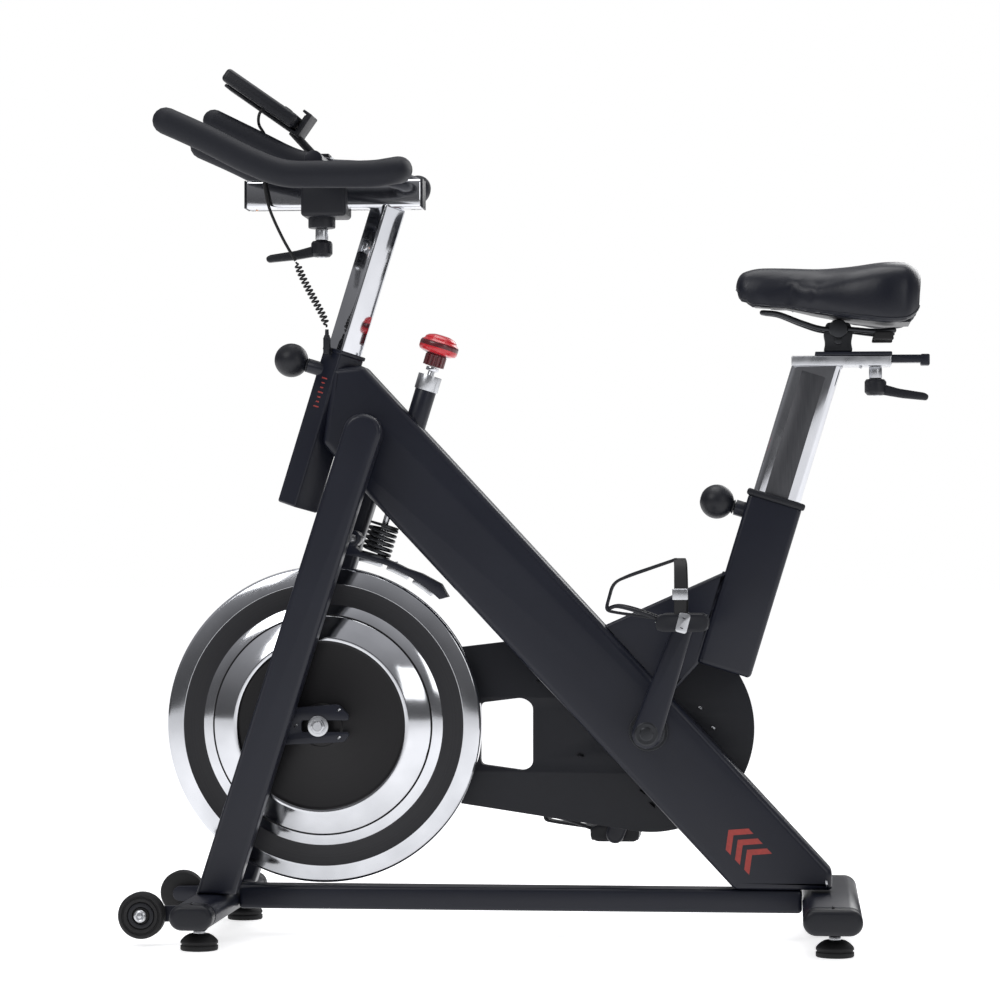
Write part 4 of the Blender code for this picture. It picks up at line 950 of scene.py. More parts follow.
def make_roller_arm(label, sign, bar_x):
    """The arm on the front bar and the bolt that the roller turns on."""
    x, y, z = ROLLER_X, sign * 0.140, ROLLER_Z
    outline = arc(x, z, 0.0115, 90.0, 270.0, 14)
    outline += [(bar_x - 0.012, z - 0.0100), (bar_x - 0.012, z + 0.0125)]
    put(plate("roller_arm_" + label, [outline], y - 0.004, y + 0.004, 0.0010, 2), "frame", "paint")
    out = sign * ROLLER_Y
    put(rod("roller_axle_" + label, (x, y, z), (x, out + sign * 0.0135, z), 0.0050, 32), "frame", "steel")
    profile = [(0.0, 0.0060), (0.0030, 0.0058), (0.0036, 0.0030), (0.0062, 0.0052), (0.0090, 0.0030),
               (0.0090, 0.0), (0.0, 0.0)]
    bolt = turned("roller_bolt_" + label, profile, (x, out + sign * 0.0122, z), (0, sign, 0), ease=0.0003)
    put(bolt, "frame", "steel")


def make_feet_and_rollers():
    foot = [(0.0, 0.0150), (0.0105, 0.0150), (0.0105, 0.0238), (0.0150, 0.0228), (0.0200, 0.0200),
            (0.0240, 0.0165),
            (0.0266, 0.0132), (0.0268, 0.0100), (0.0252, 0.0092), (0.0252, 0.0076), (0.0268, 0.0068),
            (0.0268, 0.0016), (0.0256, 0.0), (0.0200, 0.0), (0.0190, 0.0014), (0.0, 0.0014)]
    stud = [(0.0, 0.0520), (0.0044, 0.0520), (0.0044, 0.0285), (0.0084, 0.0280), (0.0088, 0.0232),
            (0.0, 0.0160)]
    for end, x in FOOT_X.items():
        for side, sign in SIDES:
            body = f"foot_{end}_{side}"
            middle = (x, sign * FOOT_Y, 0.0)
            put(turned(f"foot_pad_{end}_{side}", foot, middle, (0, 0, 1), 56, ease=0.0005), body, "rubber",
                f"levelling_foot_{end}_{side}")
            put(turned(f"foot_stud_{end}_{side}", stud, middle, (0, 0, 1), 32, ease=0.0004), body, "steel")
    tyre = [(0.0056, 0.0090), (0.0110, 0.0094), (0.0125, 0.0060), (0.0185, 0.0060), (0.0200, 0.0104),
            (0.0245, 0.0110), (0.0255, 0.0092), (0.0270, 0.0092), (0.0280, 0.0112), (0.0305, 0.0112),
            (0.0333, 0.0085),
            (0.0333, 0.0018), (0.0322, 0.0010), (0.0322, -0.0010), (0.0333, -0.0018), (0.0333, -0.0085),
            (0.0305, -0.0112), (0.0056, -0.0112)]
    for side, sign in SIDES:
        middle = (ROLLER_X, sign * ROLLER_Y, ROLLER_Z)
        wheel = turned("roller_tyre_" + side, tyre, middle, (0, sign, 0), 72, True, 0.0005)
        put(wheel, "roller_" + side, "rubber", "transport_wheel_" + side)
        ring = [(0.0126, 0.0092), (0.0184, 0.0092), (0.0184, 0.0050), (0.0126, 0.0050)]
        put(turned("roller_ring_" + side, ring, middle, (0, sign, 0), 64, True, 0.0004), "roller_" + side,
            "plastic")


# ---------------------------------------------------------------- drive
def make_drive():
    """Belt guard, belt and wheels, bottom bracket, flywheel, cranks and pedals."""
    make_guard()
    keep("rubber", "drive_belt")
    keep("steel", "flywheel_pulley", "crank_pulley", "brake_pivot_pin")
    make_flywheel()
    for name, sign, hub_y in (("left", -1, 0.0420), ("right", 1, 0.0640)):
        make_crank(name, sign, hub_y)


def make_guard():
    """The two halves of the belt guard, with a window, and the screws round their rim."""
    window = eased([(-0.0790, 0.2490), (-0.0130, 0.2400), (-0.0010, 0.2490), (-0.0010, 0.3380),
                    (-0.0160, 0.3480), (-0.0790, 0.3400)], 0.008, 5)
    small, big = (WHEEL.x, WHEEL.z), (CRANK.x, CRANK.z)
    outline = round_link(small, 0.088, big, 0.152)
    holes = [circle(*big, 0.0240), circle(*small, 0.0300)]
    inner = plate("belt_guard_back", [outline, window, *holes], GUARD_NEAR, 0.0388, 0.0006, 2)
    put(inner, "frame", "guard", "guard_inner")
    cover = plate("belt_guard_cover", [outline, window], 0.0391, GUARD_FAR, 0.0045, 4)
    room = round_link(small, 0.0855, big, 0.1495)
    walls = eased([(-0.0815, 0.2465), (-0.0130, 0.2373), (0.0015, 0.2475), (0.0015, 0.3395),
                   (-0.0155, 0.3506), (-0.0815, 0.3423)], 0.008, 5)
    cover = carve(cover, plate("guard_room", [room, walls], 0.0300, 0.0587),
                  rod("crank_hole", (CRANK.x, 0.030, CRANK.z), (CRANK.x, 0.070, CRANK.z), 0.0240),
                  rod("axle_hole", (WHEEL.x, 0.030, WHEEL.z), (WHEEL.x, 0.070, WHEEL.z), 0.0150))
    put(cover, "frame", "guard", "guard_outer")
    black = ((0.010, 0.371), (0.067, 0.326), (0.0690, 0.2620), (0.1160, 0.2610), (0.1545, 0.2300),
             (0.1600, 0.2090), (0.1740, 0.1900))
    bright = ((0.245, 0.3330), (0.2640, 0.3040))
    far = ((-0.330, 0.380), (-0.330, 0.240), (-0.180, 0.395), (-0.180, 0.222), (0.020, 0.370),
           (0.040, 0.195), (0.180, 0.435), (0.180, 0.171), (0.300, 0.303))
    rows = (("near", "black_steel", black, GUARD_NEAR, NEAR, 0.0058, 0.0030),
            ("bright", "steel", bright, GUARD_NEAR, NEAR, 0.0042, 0.0026),
            ("far", "black_steel", far, GUARD_FAR, (0, 1, 0), 0.0045, 0.0022))
    for row, look, places, y, facing, radius, height in rows:
        places = [(x, y, z) for x, z in places]
        screws("guard_screws_" + row, "frame", look, places, facing, radius, height)


def make_flywheel():
    """The bottom bracket's shell and the flywheel, both turned."""
    shell = [(0.0104, 0.0390), (0.0225, 0.0390), (0.0232, 0.0378), (0.0250, 0.0378), (0.0285, 0.0384),
             (0.0285, 0.0333), (0.0200, 0.0333), (0.0200, -0.0333), (0.0104, -0.0333)]
    shell = turned("bottom_bracket_shell", shell, CRANK, NEAR, 64, True)
    put(shell, "frame", "black_steel", "bottom_bracket")
    near_face = [(0.0078, 0.0400), (0.0300, 0.0400), (0.0320, 0.0370), (0.1200, 0.0370), (0.1230, 0.0376),
                 (0.1237, 0.0420), (0.1290, 0.0420), (0.1440, 0.0345), (0.1595, 0.0262), (0.1606, 0.0240),
                 (0.1618, 0.0250), (0.1760, 0.0184), (0.1770, 0.0178), (0.2060, 0.0178), (0.2072, 0.0182),
                 (0.2290, 0.0126), (0.2320, 0.0096)]
    far_face = [(0.2320, -0.0100), (0.2070, -0.0180), (0.0600, -0.0180), (0.0300, -0.0260), (0.0078, -0.0260)]
    disc = turned("flywheel_disc", near_face + far_face, WHEEL, NEAR, 160, True, 0.0007)
    put(disc, "flywheel", "wheel", "flywheel")


def make_crank(name, sign, hub_y):
    """One arm with its boss, bolt cover and pedal spindle, then the pedal on it."""
    turn = Vector((math.cos(CRANK_ANGLE), 0.0, math.sin(CRANK_ANGLE))) * -sign
    end = CRANK + turn * CRANK_LENGTH
    outline = round_link((end.x, end.z), 0.0135, (CRANK.x, CRANK.z), 0.0213, 36)
    arm = plate("crank_arm_" + name, [outline], *side_span(sign, 0.0902, 0.1058), 0.0050, 4)
    put(arm, "crankset", "paint", "crank_" + name)
    depth = 0.0950 - hub_y
    boss = [(0.0102, 0.0), (0.0200, 0.0), (0.0200, depth), (0.0102, depth)]
    boss = turned("crank_boss_" + name, boss, (CRANK.x, sign * hub_y, CRANK.z), (0, sign, 0), 56, True)
    put(boss, "crankset", "paint")
    cover = [(0.0, 0.0013), (0.0085, 0.0013), (0.0100, 0.0003), (0.0150, 0.0008), (0.0172, 0.0), (0.0, 0.0)]
    place = (CRANK.x, sign * 0.1057, CRANK.z)
    put(turned("crank_bolt_cover_" + name, cover, place, (0, sign, 0), 56, ease=0.0003), "crankset",
        "black_steel")
    axle = [(0.0, 0.0), (0.0095, 0.0), (0.0095, 0.0050), (0.0055, 0.0060), (0.0055, 0.0920), (0.0, 0.0920)]
    place = (end.x, sign * 0.1040, end.z)
    put(turned("pedal_spindle_" + name, axle, place, (0, sign, 0), 40), "crankset", "steel")
    make_pedal(name, sign, end)


def make_pedal(name, sign, end):
    """The caged platform with its steel end plate, and the toe clip on it."""
    body = "pedal_" + name
    x, z = end.x, end.z
    low, high = side_span(sign, PEDAL_IN, PEDAL_OUT)
    core = rod("pedal_core_" + name, (x, low + 0.004, z), (x, high - 0.006, z), 0.0118)
    bore = rod("pedal_bore", (x, sign * 0.100, z), (x, sign * 0.1985, z), 0.0060)
    put(carve(core, bore), body, "plastic", "pedal_" + name)
    shape = eased([(x - 0.0380, z - 0.0070), (x - 0.0290, z - 0.0125), (x + 0.0290, z - 0.0125),
                   (x + 0.0350, z - 0.0060), (x + 0.0350, z + 0.0060), (x + 0.0290, z + 0.0125),
                   (x - 0.0290, z + 0.0125), (x - 0.0380, z + 0.0070)], 0.004)
    for label, y in (("inner", low), ("outer", high - 0.0110)):
        cheek = plate(f"pedal_cheek_{label}_{name}", [shape, circle(x, z, 0.0062, 32)], y, y + 0.0110, 0.0018, 3)
        put(cheek, body, "plastic")
    for label, at in (("front", -0.0335), ("rear", 0.0305)):
        rail = block(f"pedal_rail_{label}_{name}", (x + at - 0.0035, low + 0.002, z - 0.0105),
                     (x + at + 0.0035, high - 0.002, z + 0.0105), bevel=0.0022)
        put(rail, body, "plastic")
    bridges = [(back, front, at) for back, front in ((-0.0320, -0.0100), (0.0100, 0.0290))
               for at in (low + 0.032, high - 0.032)]
    for k, (back, front, at) in enumerate(bridges):
        bridge = block(f"pedal_bridge_{k}_{name}", (x + back, at - 0.004, z - 0.0055),
                       (x + front, at + 0.004, z + 0.0055), bevel=0.0015)
        put(bridge, body, "plastic")
    outer = sign * PEDAL_OUT
    long, short = Vector((0.0035, 0.0135)), Vector((0.0078, -0.0020))
    hub = Vector((x, z))
    corners = (-long - short, -long + short, long + short, long - short)
    side_plate = [tuple(hub + corner) for corner in corners]
    face = sorted((outer - sign * 0.0010, outer + sign * 0.0004))
    put(plate("pedal_end_plate_" + name, [eased(side_plate, 0.004)], *face, 0.0004, 1), body, "steel")
    screws("pedal_end_screws_" + name, body, "black_steel",
           [(x + long.x * k, face[0] if sign < 0 else face[1], z + long.y * k) for k in (-0.5, 0.5)], (0, sign, 0),
           0.0026, 0.0006)
    make_toe_clip(name, sign, end)


def make_toe_clip(name, sign, end):
    """The toe clip with its wings and bolts, and a webbing strap with a buckle."""
    body = "pedal_" + name
    x, z = end.x, end.z
    low, high = side_span(sign, PEDAL_IN, PEDAL_OUT)
    middle = (low + high) / 2
    band = 0.0048
    outer_line = [(x - 0.0330, z + 0.0030), (x - 0.0900, z + 0.0110), (x - 0.1128, z + 0.0150),
                  (x - 0.1015, z + 0.0570), (x - 0.0775, z + 0.0685), (x - 0.0100, z + 0.0915)]
    inner_line = [(x - 0.0100, z + 0.0915 - band), (x - 0.0760, z + 0.0685 - band), (x - 0.0980, z + 0.0550),
                  (x - 0.1085, z + 0.0180), (x - 0.0900, z + 0.0146), (x - 0.0330, z + 0.0030 + band)]
    line = eased(outer_line + inner_line, 0.012, 5)
    clip = plate("toe_clip_cage_" + name, [line], middle - 0.0150, middle + 0.0150, 0.0010, 2)
    put(clip, body, "plastic")
    for label, y in (("near", middle - 0.026), ("far", middle + 0.026)):
        out = y - middle
        arm = [(x - 0.1050, y - out * 0.55, z + 0.0200), (x - 0.0930, y, z + 0.0230),
               (x - 0.0700, y + out * 0.35, z + 0.0180), (x - 0.0360, y + out * 0.3, z + 0.0060)]
        wing = swept(f"toe_clip_wing_{label}_{name}", smooth_path(arm, 6), 0.0028, 14, 0.0020)
        put(wing, body, "plastic")
    path = [(x - 0.0038, low + 0.0030, z + 0.004), (x - 0.0038, low + 0.0030, z + 0.045),
            (x - 0.0045, low + 0.018, z + 0.080), (x - 0.0060, middle, z + 0.0893),
            (x - 0.0045, high - 0.018, z + 0.080), (x - 0.0038, high - 0.0030, z + 0.045),
            (x - 0.0038, high - 0.0030, z + 0.004)]
    put(webbing("toe_strap_webbing_" + name, path, 0.0085, 0.0014), body, "rubber")
    at = Matrix.Translation((x - 0.0040, sign * (PEDAL_OUT - 0.0022), z + 0.040))
    buckle = block("toe_strap_buckle_" + name, (-0.0110, -0.0030, -0.0080), (0.0110, 0.0030, 0.0080), at, 0.0016)
    put(buckle, body, "steel")
    bolts = [(x - 0.0378, middle - 0.009, z), (x - 0.0378, middle + 0.009, z)]
    screws("toe_clip_bolts_" + name, body, "steel", bolts, (-1, 0, 0), 0.0036, 0.0020)


def webbing(name, points, half_wide, half_thick):
    """A flat strap that keeps its width along X."""
    path = smooth_path(points, 10)
    wide = Vector((half_wide, 0.0, 0.0))
    sections = []
    for at, (tangent, _, _) in zip(path, frames_along(path)):
        out = Vector((1.0, 0.0, 0.0)).cross(tangent).normalized() * half_thick
        sections.append([at - wide * 0.96 - out, at + wide * 0.96 - out, at + wide - out * 0.4,
                         at + wide + out * 0.4, at + wide * 0.96 + out, at - wide * 0.96 + out,
                         at - wide + out * 0.4, at - wide - out * 0.4])
    return loft(name, sections, 30.0)


# ---------------------------------------------------------------- brake
def make_brake():
    """Scalloped push knob, rod, wound spring and the magnet arm."""
    knob = [(0.0, 0.0240), (0.0110, 0.0236), (0.0190, 0.0212), (0.0235, 0.0178), (0.0240, 0.0150),
            (0.0278, 0.0125), (0.0290, 0.0095), (0.0290, 0.0015), (0.0270, -0.0025), (0.0200, -0.0048),
            (0.0150, -0.0062),
            (0.0138, -0.0080), (0.0132, -0.0236), (0.0, -0.0240)]
    put(turned("brake_knob_cap", knob, BRAKE_TOP, UP, 80, ease=0.0010), "brake_knob", "red", "brake_knob")
    ribs = grown("brake_knob_ribs", "ribs", "red", matrix=along(BRAKE_TOP - UP * 0.0150, UP), Count=14.0,
                 Ring=0.0133, Rib=0.0026, Length=0.0160)
    put(ribs, "brake_knob", "red")
    push_rod = rod("brake_push_rod", BRAKE_TOP - UP * 0.300, BRAKE_TOP - UP * 0.0243, 0.0048, 32)
    put(push_rod, "brake_rod", "steel", "brake_rod")
    low, high = BRAKE_TOP - UP * 0.0305, BRAKE_TOP - UP * 0.0250
    put(sleeve("brake_rod_collar", low, high, 0.0092, 0.0049), "brake_rod", "chrome")
    spring_foot = BRAKE_TOP - UP * 0.3105
    coil = grown("brake_spring_wire", "coil", "black_steel", matrix=along(spring_foot, UP), Turns=5.5,
                 Radius=0.0196, Height=0.0400, Wire=0.0027)
    put(coil, "frame", "black_steel", "brake_spring")
    for label, at in (("top", -0.2680), ("bottom", -0.3140)):
        low, high = BRAKE_TOP + UP * (at - 0.0016), BRAKE_TOP + UP * (at + 0.0016)
        seat = sleeve("spring_seat_" + label, low, high, 0.0215, 0.0056)
        put(seat, "frame", "black_steel")
    x, z = WHEEL.x, WHEEL.z
    side = arc(x, z, 0.2508, 86.0, 47.0, 40)
    side += [polar(0.2620, 45.5), polar(0.2688, 50.0), polar(0.2640, 57.0)]
    side += arc(x, z, 0.2592, 62.0, 78.0, 18)
    side += [polar(0.2698, 81.0), polar(0.2698, 84.0)]
    arm = plate("magnet_arm", [side], -0.0168, 0.0168, 0.0012, 2)
    reach = Vector((0.0, 0.018, 0.0))
    arm = carve(arm, (rod("arm_boss", BRAKE_PIVOT - reach, BRAKE_PIVOT + reach, 0.0115), "UNION"),
                rod("arm_bore", BRAKE_PIVOT - reach * 2, BRAKE_PIVOT + reach * 2, 0.0064))
    put(arm, "brake_arm", "paint", "brake_arm")
    for index, (start, end) in enumerate(((78.0, 70.0), (68.0, 60.0), (58.0, 50.0))):
        magnet = eased(arc(x, z, 0.2452, start, end, 8) + arc(x, z, 0.2520, end, start, 8), 0.0006, 1)
        put(plate(f"brake_magnet_{index + 1}", [magnet], -0.0098, 0.0098, 0.0006, 1), "brake_arm", "steel")
    x, z = polar(0.2592, 66.0)
    screws("magnet_screws", "brake_arm", "steel", [(x, y, z) for y in (-0.008, 0.008)], UP, 0.0030, 0.0016)


def polar(radius, degrees):
    """A point seen from the flywheel's axis."""
    angle = math.radians(degrees)
    return (WHEEL.x + radius * math.cos(angle), WHEEL.z + radius * math.sin(angle))


# ---------------------------------------------------------------- handlebar
def make_post():
    """Chrome post on its edge, the slide tube across its top and the tube's end caps."""
    post = block("height_post", (-0.019, -0.019, -0.140), (0.019, 0.019, 0.2250), HEAD_TURN, 0.0035, 5)
    tube = block("slide_tube", (-0.4215, -0.021, 1.068), (-0.1600, 0.021, 1.110), bevel=0.0050, segments=5)
    put(carve(post, (tube, "UNION")), "post", "chrome", "handlebar_post")
    cap = block("slide_tube_cap_rear", (-0.1610, -0.0214, 1.0676), (-0.1585, 0.0214, 1.1104), bevel=0.0010)
    put(cap, "post", "plastic")
    cap = block("slide_tube_cap_front", (-0.4230, -0.0206, 1.0684), (-0.4205, 0.0206, 1.1096), bevel=0.0010)
    put(cap, "post", "plastic")
    screws("slide_tube_screw", "post", "copper", [(-0.4050, 0.0, 1.0680)], (0, 0, -1), 0.0042, 0.0030)
    bump = [(0.0, 0.0022), (0.0040, 0.0018), (0.0058, 0.0), (0.0, 0.0)]
    for side, place in (("left", (-0.0188, 0.0, 0.156)), ("right", (0.0, 0.0188, 0.156))):
        at = HEAD_TURN @ Vector(place)
        facing = at - on_axis(HEAD_TOP, 0.156)
        put(turned("post_stop_" + side, bump, at, facing, 32, ease=0.0003), "post", "steel")


def clamp_lever(name, body, hub, reach, stud):
    """A ratchet lever: threaded stud, ribbed hub and a tapered arm."""
    profile = [(0.0, stud), (0.0046, stud), (0.0046, 0.0), (0.0088, -0.0003), (0.0088, -0.0180),
               (0.0135, -0.0186),
               (0.0158, -0.0220), (0.0158, -0.0375), (0.0118, -0.0418), (0.0, -0.0420)]
    handle = turned(name + "_hub", profile, hub, (0, 0, 1), 56)
    order = 1 if reach > 0 else -1
    outline = [(hub.x, hub.z - 0.0225), (hub.x + reach * 0.45, hub.z - 0.0325),
               (hub.x + reach * 0.93, hub.z - 0.0385), (hub.x + reach, hub.z - 0.0425),
               (hub.x + reach * 0.97, hub.z - 0.0498),
               (hub.x + reach * 0.5, hub.z - 0.0462), (hub.x, hub.z - 0.0395)][::order]
    arm = plate(name + "_arm", [eased(outline, 0.004)], -0.0070, 0.0070, 0.0028, 3)
    put(carve(handle, (arm, "UNION")), body, "plastic", name)
    low, high = hub - Vector((0, 0, 0.0170)), hub - Vector((0, 0, 0.0004))
    put(sleeve(name + "_stud_sleeve", low, high, 0.0094, 0.0080), body, "steel")
    put(turned(name + "_screw", [(0.0, 0.0012), (0.0040, 0.0010), (0.0050, 0.0), (0.0, 0.0)],
               hub - Vector((0, 0, 0.0418)), (0, 0, -1), 32, ease=0.0002), body, "steel")


def make_handlebar():
    """The slider on its tube, the reach lever, the cross bar, and what it carries."""
    slider = block("slider_housing", (-0.3375, -0.034, 1.0550), (-0.2705, 0.034, 1.1135), bevel=0.0060, segments=4)
    boss = rod("slider_boss", (-0.3105, 0.0, 1.0400), (-0.3105, 0.0, 1.0600), 0.0200, 56, 0.0020)
    channel = block("slider_channel", (-0.40, -0.0214, 1.0676), (-0.20, 0.0214, 1.1104), bevel=0.0040)
    hole = rod("lever_hole", (-0.3105, 0.0, 1.030), (-0.3105, 0.0, 1.0530), 0.0054)
    put(carve(slider, (boss, "UNION"), channel, hole), "handlebar", "plastic", "slider_block")
    clamp_lever("reach_lever", "reach_lever", REACH_LEVER, -0.0830, 0.0110)

    bar_x, bar_z = -0.3045, 1.1272
    put(rod("cross_bar", (bar_x, -0.1300, bar_z), (bar_x, 0.1300, bar_z), 0.0130, 48), "handlebar", "paint",
        "handlebar_frame")
    saddle = arc(bar_x, 1.1240, 0.0200, 0.0, 180.0, 24) + [(bar_x - 0.0210, 1.1138), (bar_x + 0.0210, 1.1138)]
    put(plate("cross_bar_clamp", [eased(saddle, 0.002)], -0.0200, 0.0200, 0.0025, 3), "handlebar", "paint")
    places = [(bar_x + dx, dy, 1.1405) for dx in (-0.010, 0.010) for dy in (-0.012, 0.012)]
    screws("clamp_screws", "handlebar", "steel", places, (0, 0, 1), 0.0036, 0.0026)
    make_grips()
    make_console()


def make_grips():
    """The foam grips, the bars that return to the cross bar, and the foam horns."""
    for side, sign in SIDES:
        route = [(-0.5328, sign * GRIP_Y, 1.1901), (-0.4600, sign * GRIP_Y, 1.1570),
                 (-0.3950, sign * GRIP_Y, 1.1240),
                 (-0.3450, sign * GRIP_Y, 1.1055), (-0.2900, sign * GRIP_Y, 1.1030),
                 (-0.2200, sign * GRIP_Y, 1.1030),
                 (-0.1900, sign * 0.146, 1.1070), (-0.1820, sign * 0.125, 1.1110),
                 (-0.1820, sign * 0.100, 1.1120)]
        grip = swept("foam_grip_" + side, smooth_path(route, 14), 0.0195, 40, 0.0195, 110)
        put(grip, "handlebar", "foam", "grip_" + side)
        tail = [(-0.1820, sign * 0.104, 1.1120), (-0.1860, sign * 0.080, 1.1135),
                (-0.2100, sign * 0.050, 1.1180),
                (-0.2500, sign * 0.028, 1.1240), (-0.2900, sign * 0.020, 1.1272)]
        put(swept("return_bar_" + side, smooth_path(tail, 10), 0.0125, 32, 0.0, 44), "handlebar", "paint")
        horn = [(-0.3050, sign * HORN_Y, 1.1285), (-0.3300, sign * HORN_Y, 1.1330),
                (-0.3560, sign * HORN_Y, 1.1420),
                (-0.4000, sign * HORN_Y, 1.1640), (-0.4793, sign * HORN_Y, 1.2033)]
        put(swept("foam_horn_" + side, smooth_path(horn, 12), 0.0165, 36, 0.0165, 60), "handlebar", "foam",
            "horn_grip_" + side)


def make_console():
    """Display case with glass, seam and button, on a bracket with a ledge for a phone."""
    middle = Vector((-0.3970, 0.0, 1.2260))
    tilt = Matrix.Translation(middle) @ Matrix.Rotation(math.radians(35.0), 4, "Y")
    case = block("display_case", (-0.0630, -0.0550, -0.0080), (0.0630, 0.0550, 0.0130), tilt, 0.0060, 5)
    well = block("button_well", (0.0300, -0.0125, 0.0080), (0.0420, 0.0125, 0.0200), tilt, 0.0004, 1)
    recess = block("glass_recess", (-0.0520, -0.0470, 0.0119), (0.0240, 0.0470, 0.0200), tilt, 0.0004, 1)
    seam = carve(block("seam", (-0.0700, -0.0600, 0.0020), (0.0700, 0.0600, 0.0026), tilt, 0.0001, 1),
                 block("seam_core", (-0.0622, -0.0542, 0.0), (0.0622, 0.0542, 0.0050), tilt, 0.0001, 1))
    put(carve(case, well, recess, seam), "handlebar", "plastic", "console_case")
    window = block("display_window", (-0.0518, -0.0468, 0.0116), (0.0238, 0.0468, 0.0127), tilt, 0.0004, 2)
    put(window, "handlebar", "glass")
    put(block("display_button", (0.0305, -0.0120, 0.0095), (0.0415, 0.0120, 0.0150), tilt, 0.0018, 4),
        "console_button", "rubber", "console_button")
    bracket = block("display_bracket", (-0.0580, -0.0300, -0.0130), (0.0720, 0.0300, -0.0083), tilt, 0.0018)
    ledge = block("ledge", (0.0670, -0.0300, -0.0130), (0.0750, 0.0300, 0.0260), tilt, 0.0018)
    hook = block("ledge_hook", (0.0600, -0.0300, 0.0220), (0.0745, 0.0300, 0.0260), tilt, 0.0012)
    stem = rod("display_stem", tilt @ Vector((0.0580, 0.0, -0.0105)), (-0.3235, 0.0, 1.1495), 0.0060, 32)
    foot = block("display_foot", (-0.3310, -0.0150, 1.1443), (-0.2980, 0.0150, 1.1490), bevel=0.0010)
    bracket = carve(bracket, *((part, "UNION") for part in (ledge, hook, stem, foot)))
    put(bracket, "handlebar", "plastic", "console_bracket")
    for side, sign in SIDES:
        y = sign * 0.0200
        pad = block("ledge_pad_" + side, (0.0655, y - 0.0070, 0.0040), (0.0672, y + 0.0070, 0.0200), tilt,
                    0.0006, 2)
        put(pad, "handlebar", "rubber")


# ---------------------------------------------------------------- pins, seat and saddle
def pop_pin(name, top, down, ball_at, shank_end, boss_at):
    """Ball knob with a flat, a sprung collar and the pin."""
    start = on_axis(top, -down, -ball_at)
    radius = 0.025
    angles = [math.radians(a) for a in range(16, 162, 6)]
    ball = [(radius * math.sin(a), radius * math.cos(a)) for a in angles]
    profile = [(0.0, ball[0][1])] + ball
    profile += [(0.0105, -radius + 0.0008), (0.0105, -radius - 0.0010), (0.0048, -radius - 0.0010),
                (0.0048, shank_end - ball_at), (0.0, shank_end - ball_at)]
    put(turned(name + "_ball", profile, start, -BACK, 64, ease=0.0004), name, "plastic", name)
    face = turned(name + "_face", [(0.0, 0.0005), (0.0048, 0.0005), (0.0052, 0.0), (0.0, 0.0)],
                  start - BACK * ball[0][1], -BACK, 40, ease=0.0)
    put(face, name, "steel")
    foot = on_axis(top, -down, -ball_at + radius + 0.0014)
    base = on_axis(top, -down, -boss_at)
    put(sleeve(name + "_collar", foot, base, 0.0086, 0.0056), "frame", "black_steel")


def make_seat():
    """Chrome seat post, machined head and its lever, then what slides on it."""
    post = block("seat_height_post", (-0.035, -0.018, -0.150), (0.035, 0.018, 0.240), SEAT_TURN, 0.0085, 6)
    post_top = block("post_top", (0.300, -0.100, 0.8323), (0.500, 0.100, 0.950))
    put(carve(post, post_top), "seat_post", "chrome", "seat_post")
    for side, sign in SIDES:
        strip = block("post_channel_" + side, (-0.0185, sign * 0.0181 - 0.0003, -0.1400),
                      (0.0165, sign * 0.0181 + 0.0003, 0.1850), SEAT_TURN, 0.0002, 1)
        put(strip, "seat_post", "insert")
    head = block("slide_head", (0.3795, -0.0300, 0.8326), (0.5235, 0.0300, 0.8467), bevel=0.0016)
    channel = block("head_channel", (0.300, -0.0125, 0.8372), (0.600, 0.0125, 0.900), bevel=0.0004)
    hole = rod("seat_lever_hole", (0.5010, 0.0, 0.800), (0.5010, 0.0, 0.850), 0.0054)
    put(carve(head, channel, hole), "seat_post", "steel", "seat_head")
    clamp_lever("seat_lever", "seat_lever", SEAT_LEVER, 0.0770, 0.0045)
    screws("seat_head_bolts", "seat_post", "steel", [(0.4480, -0.0190, 0.8328), (0.4480, 0.0190, 0.8328),
                                                     (0.4760, -0.0190, 0.8328), (0.4760, 0.0190, 0.8328)],
           (0, 0, -1), 0.0060, 0.0045)
    make_carriage()
    make_saddle()


def make_carriage():
    """The sliding carriage and the saddle clamp that is bolted to it."""
    carriage = block("slide_carriage", (0.4135, -0.0290, 0.8470), (0.5245, 0.0290, 0.8528), bevel=0.0014)
    bar = block("slide_bar", (0.4435, -0.0120, 0.8376), (0.5765, 0.0120, 0.8490), bevel=0.0010)
    stop = block("slide_stop", (0.5660, -0.0125, 0.8335), (0.5790, 0.0125, 0.8500), bevel=0.0020)
    put(carve(carriage, (bar, "UNION"), (stop, "UNION")), "seat_carriage", "paint", "seat_carriage")
    outline = eased([(0.4255, 0.8531), (0.4685, 0.8531), (0.4655, 0.8660), (0.4685, 0.8800), (0.4640, 0.8958),
                     (0.4300, 0.8958), (0.4255, 0.8800), (0.4285, 0.8660)], 0.005)
    put(plate("saddle_clamp_body", [outline], -0.0158, 0.0158, 0.0018, 3), "seat_carriage", "black_steel",
        "saddle_clamp")
    bolt = [(0.0, 0.0050), (0.0050, 0.0050), (0.0064, 0.0040), (0.0064, 0.0), (0.0, 0.0)]
    for side, sign in SIDES:
        put(turned("clamp_nut_" + side, bolt, (0.4470, sign * 0.0156, 0.8690), (0, sign, 0), 6, ease=0.0003),
            "seat_carriage", "black_steel")
        put(turned("clamp_cheek_" + side, [(0.0, 0.0028), (0.0125, 0.0022), (0.0140, 0.0), (0.0, 0.0)],
                   (0.4470, sign * 0.0268, 0.8860), (0, sign, 0), 48, ease=0.0005), "saddle", "black_steel")


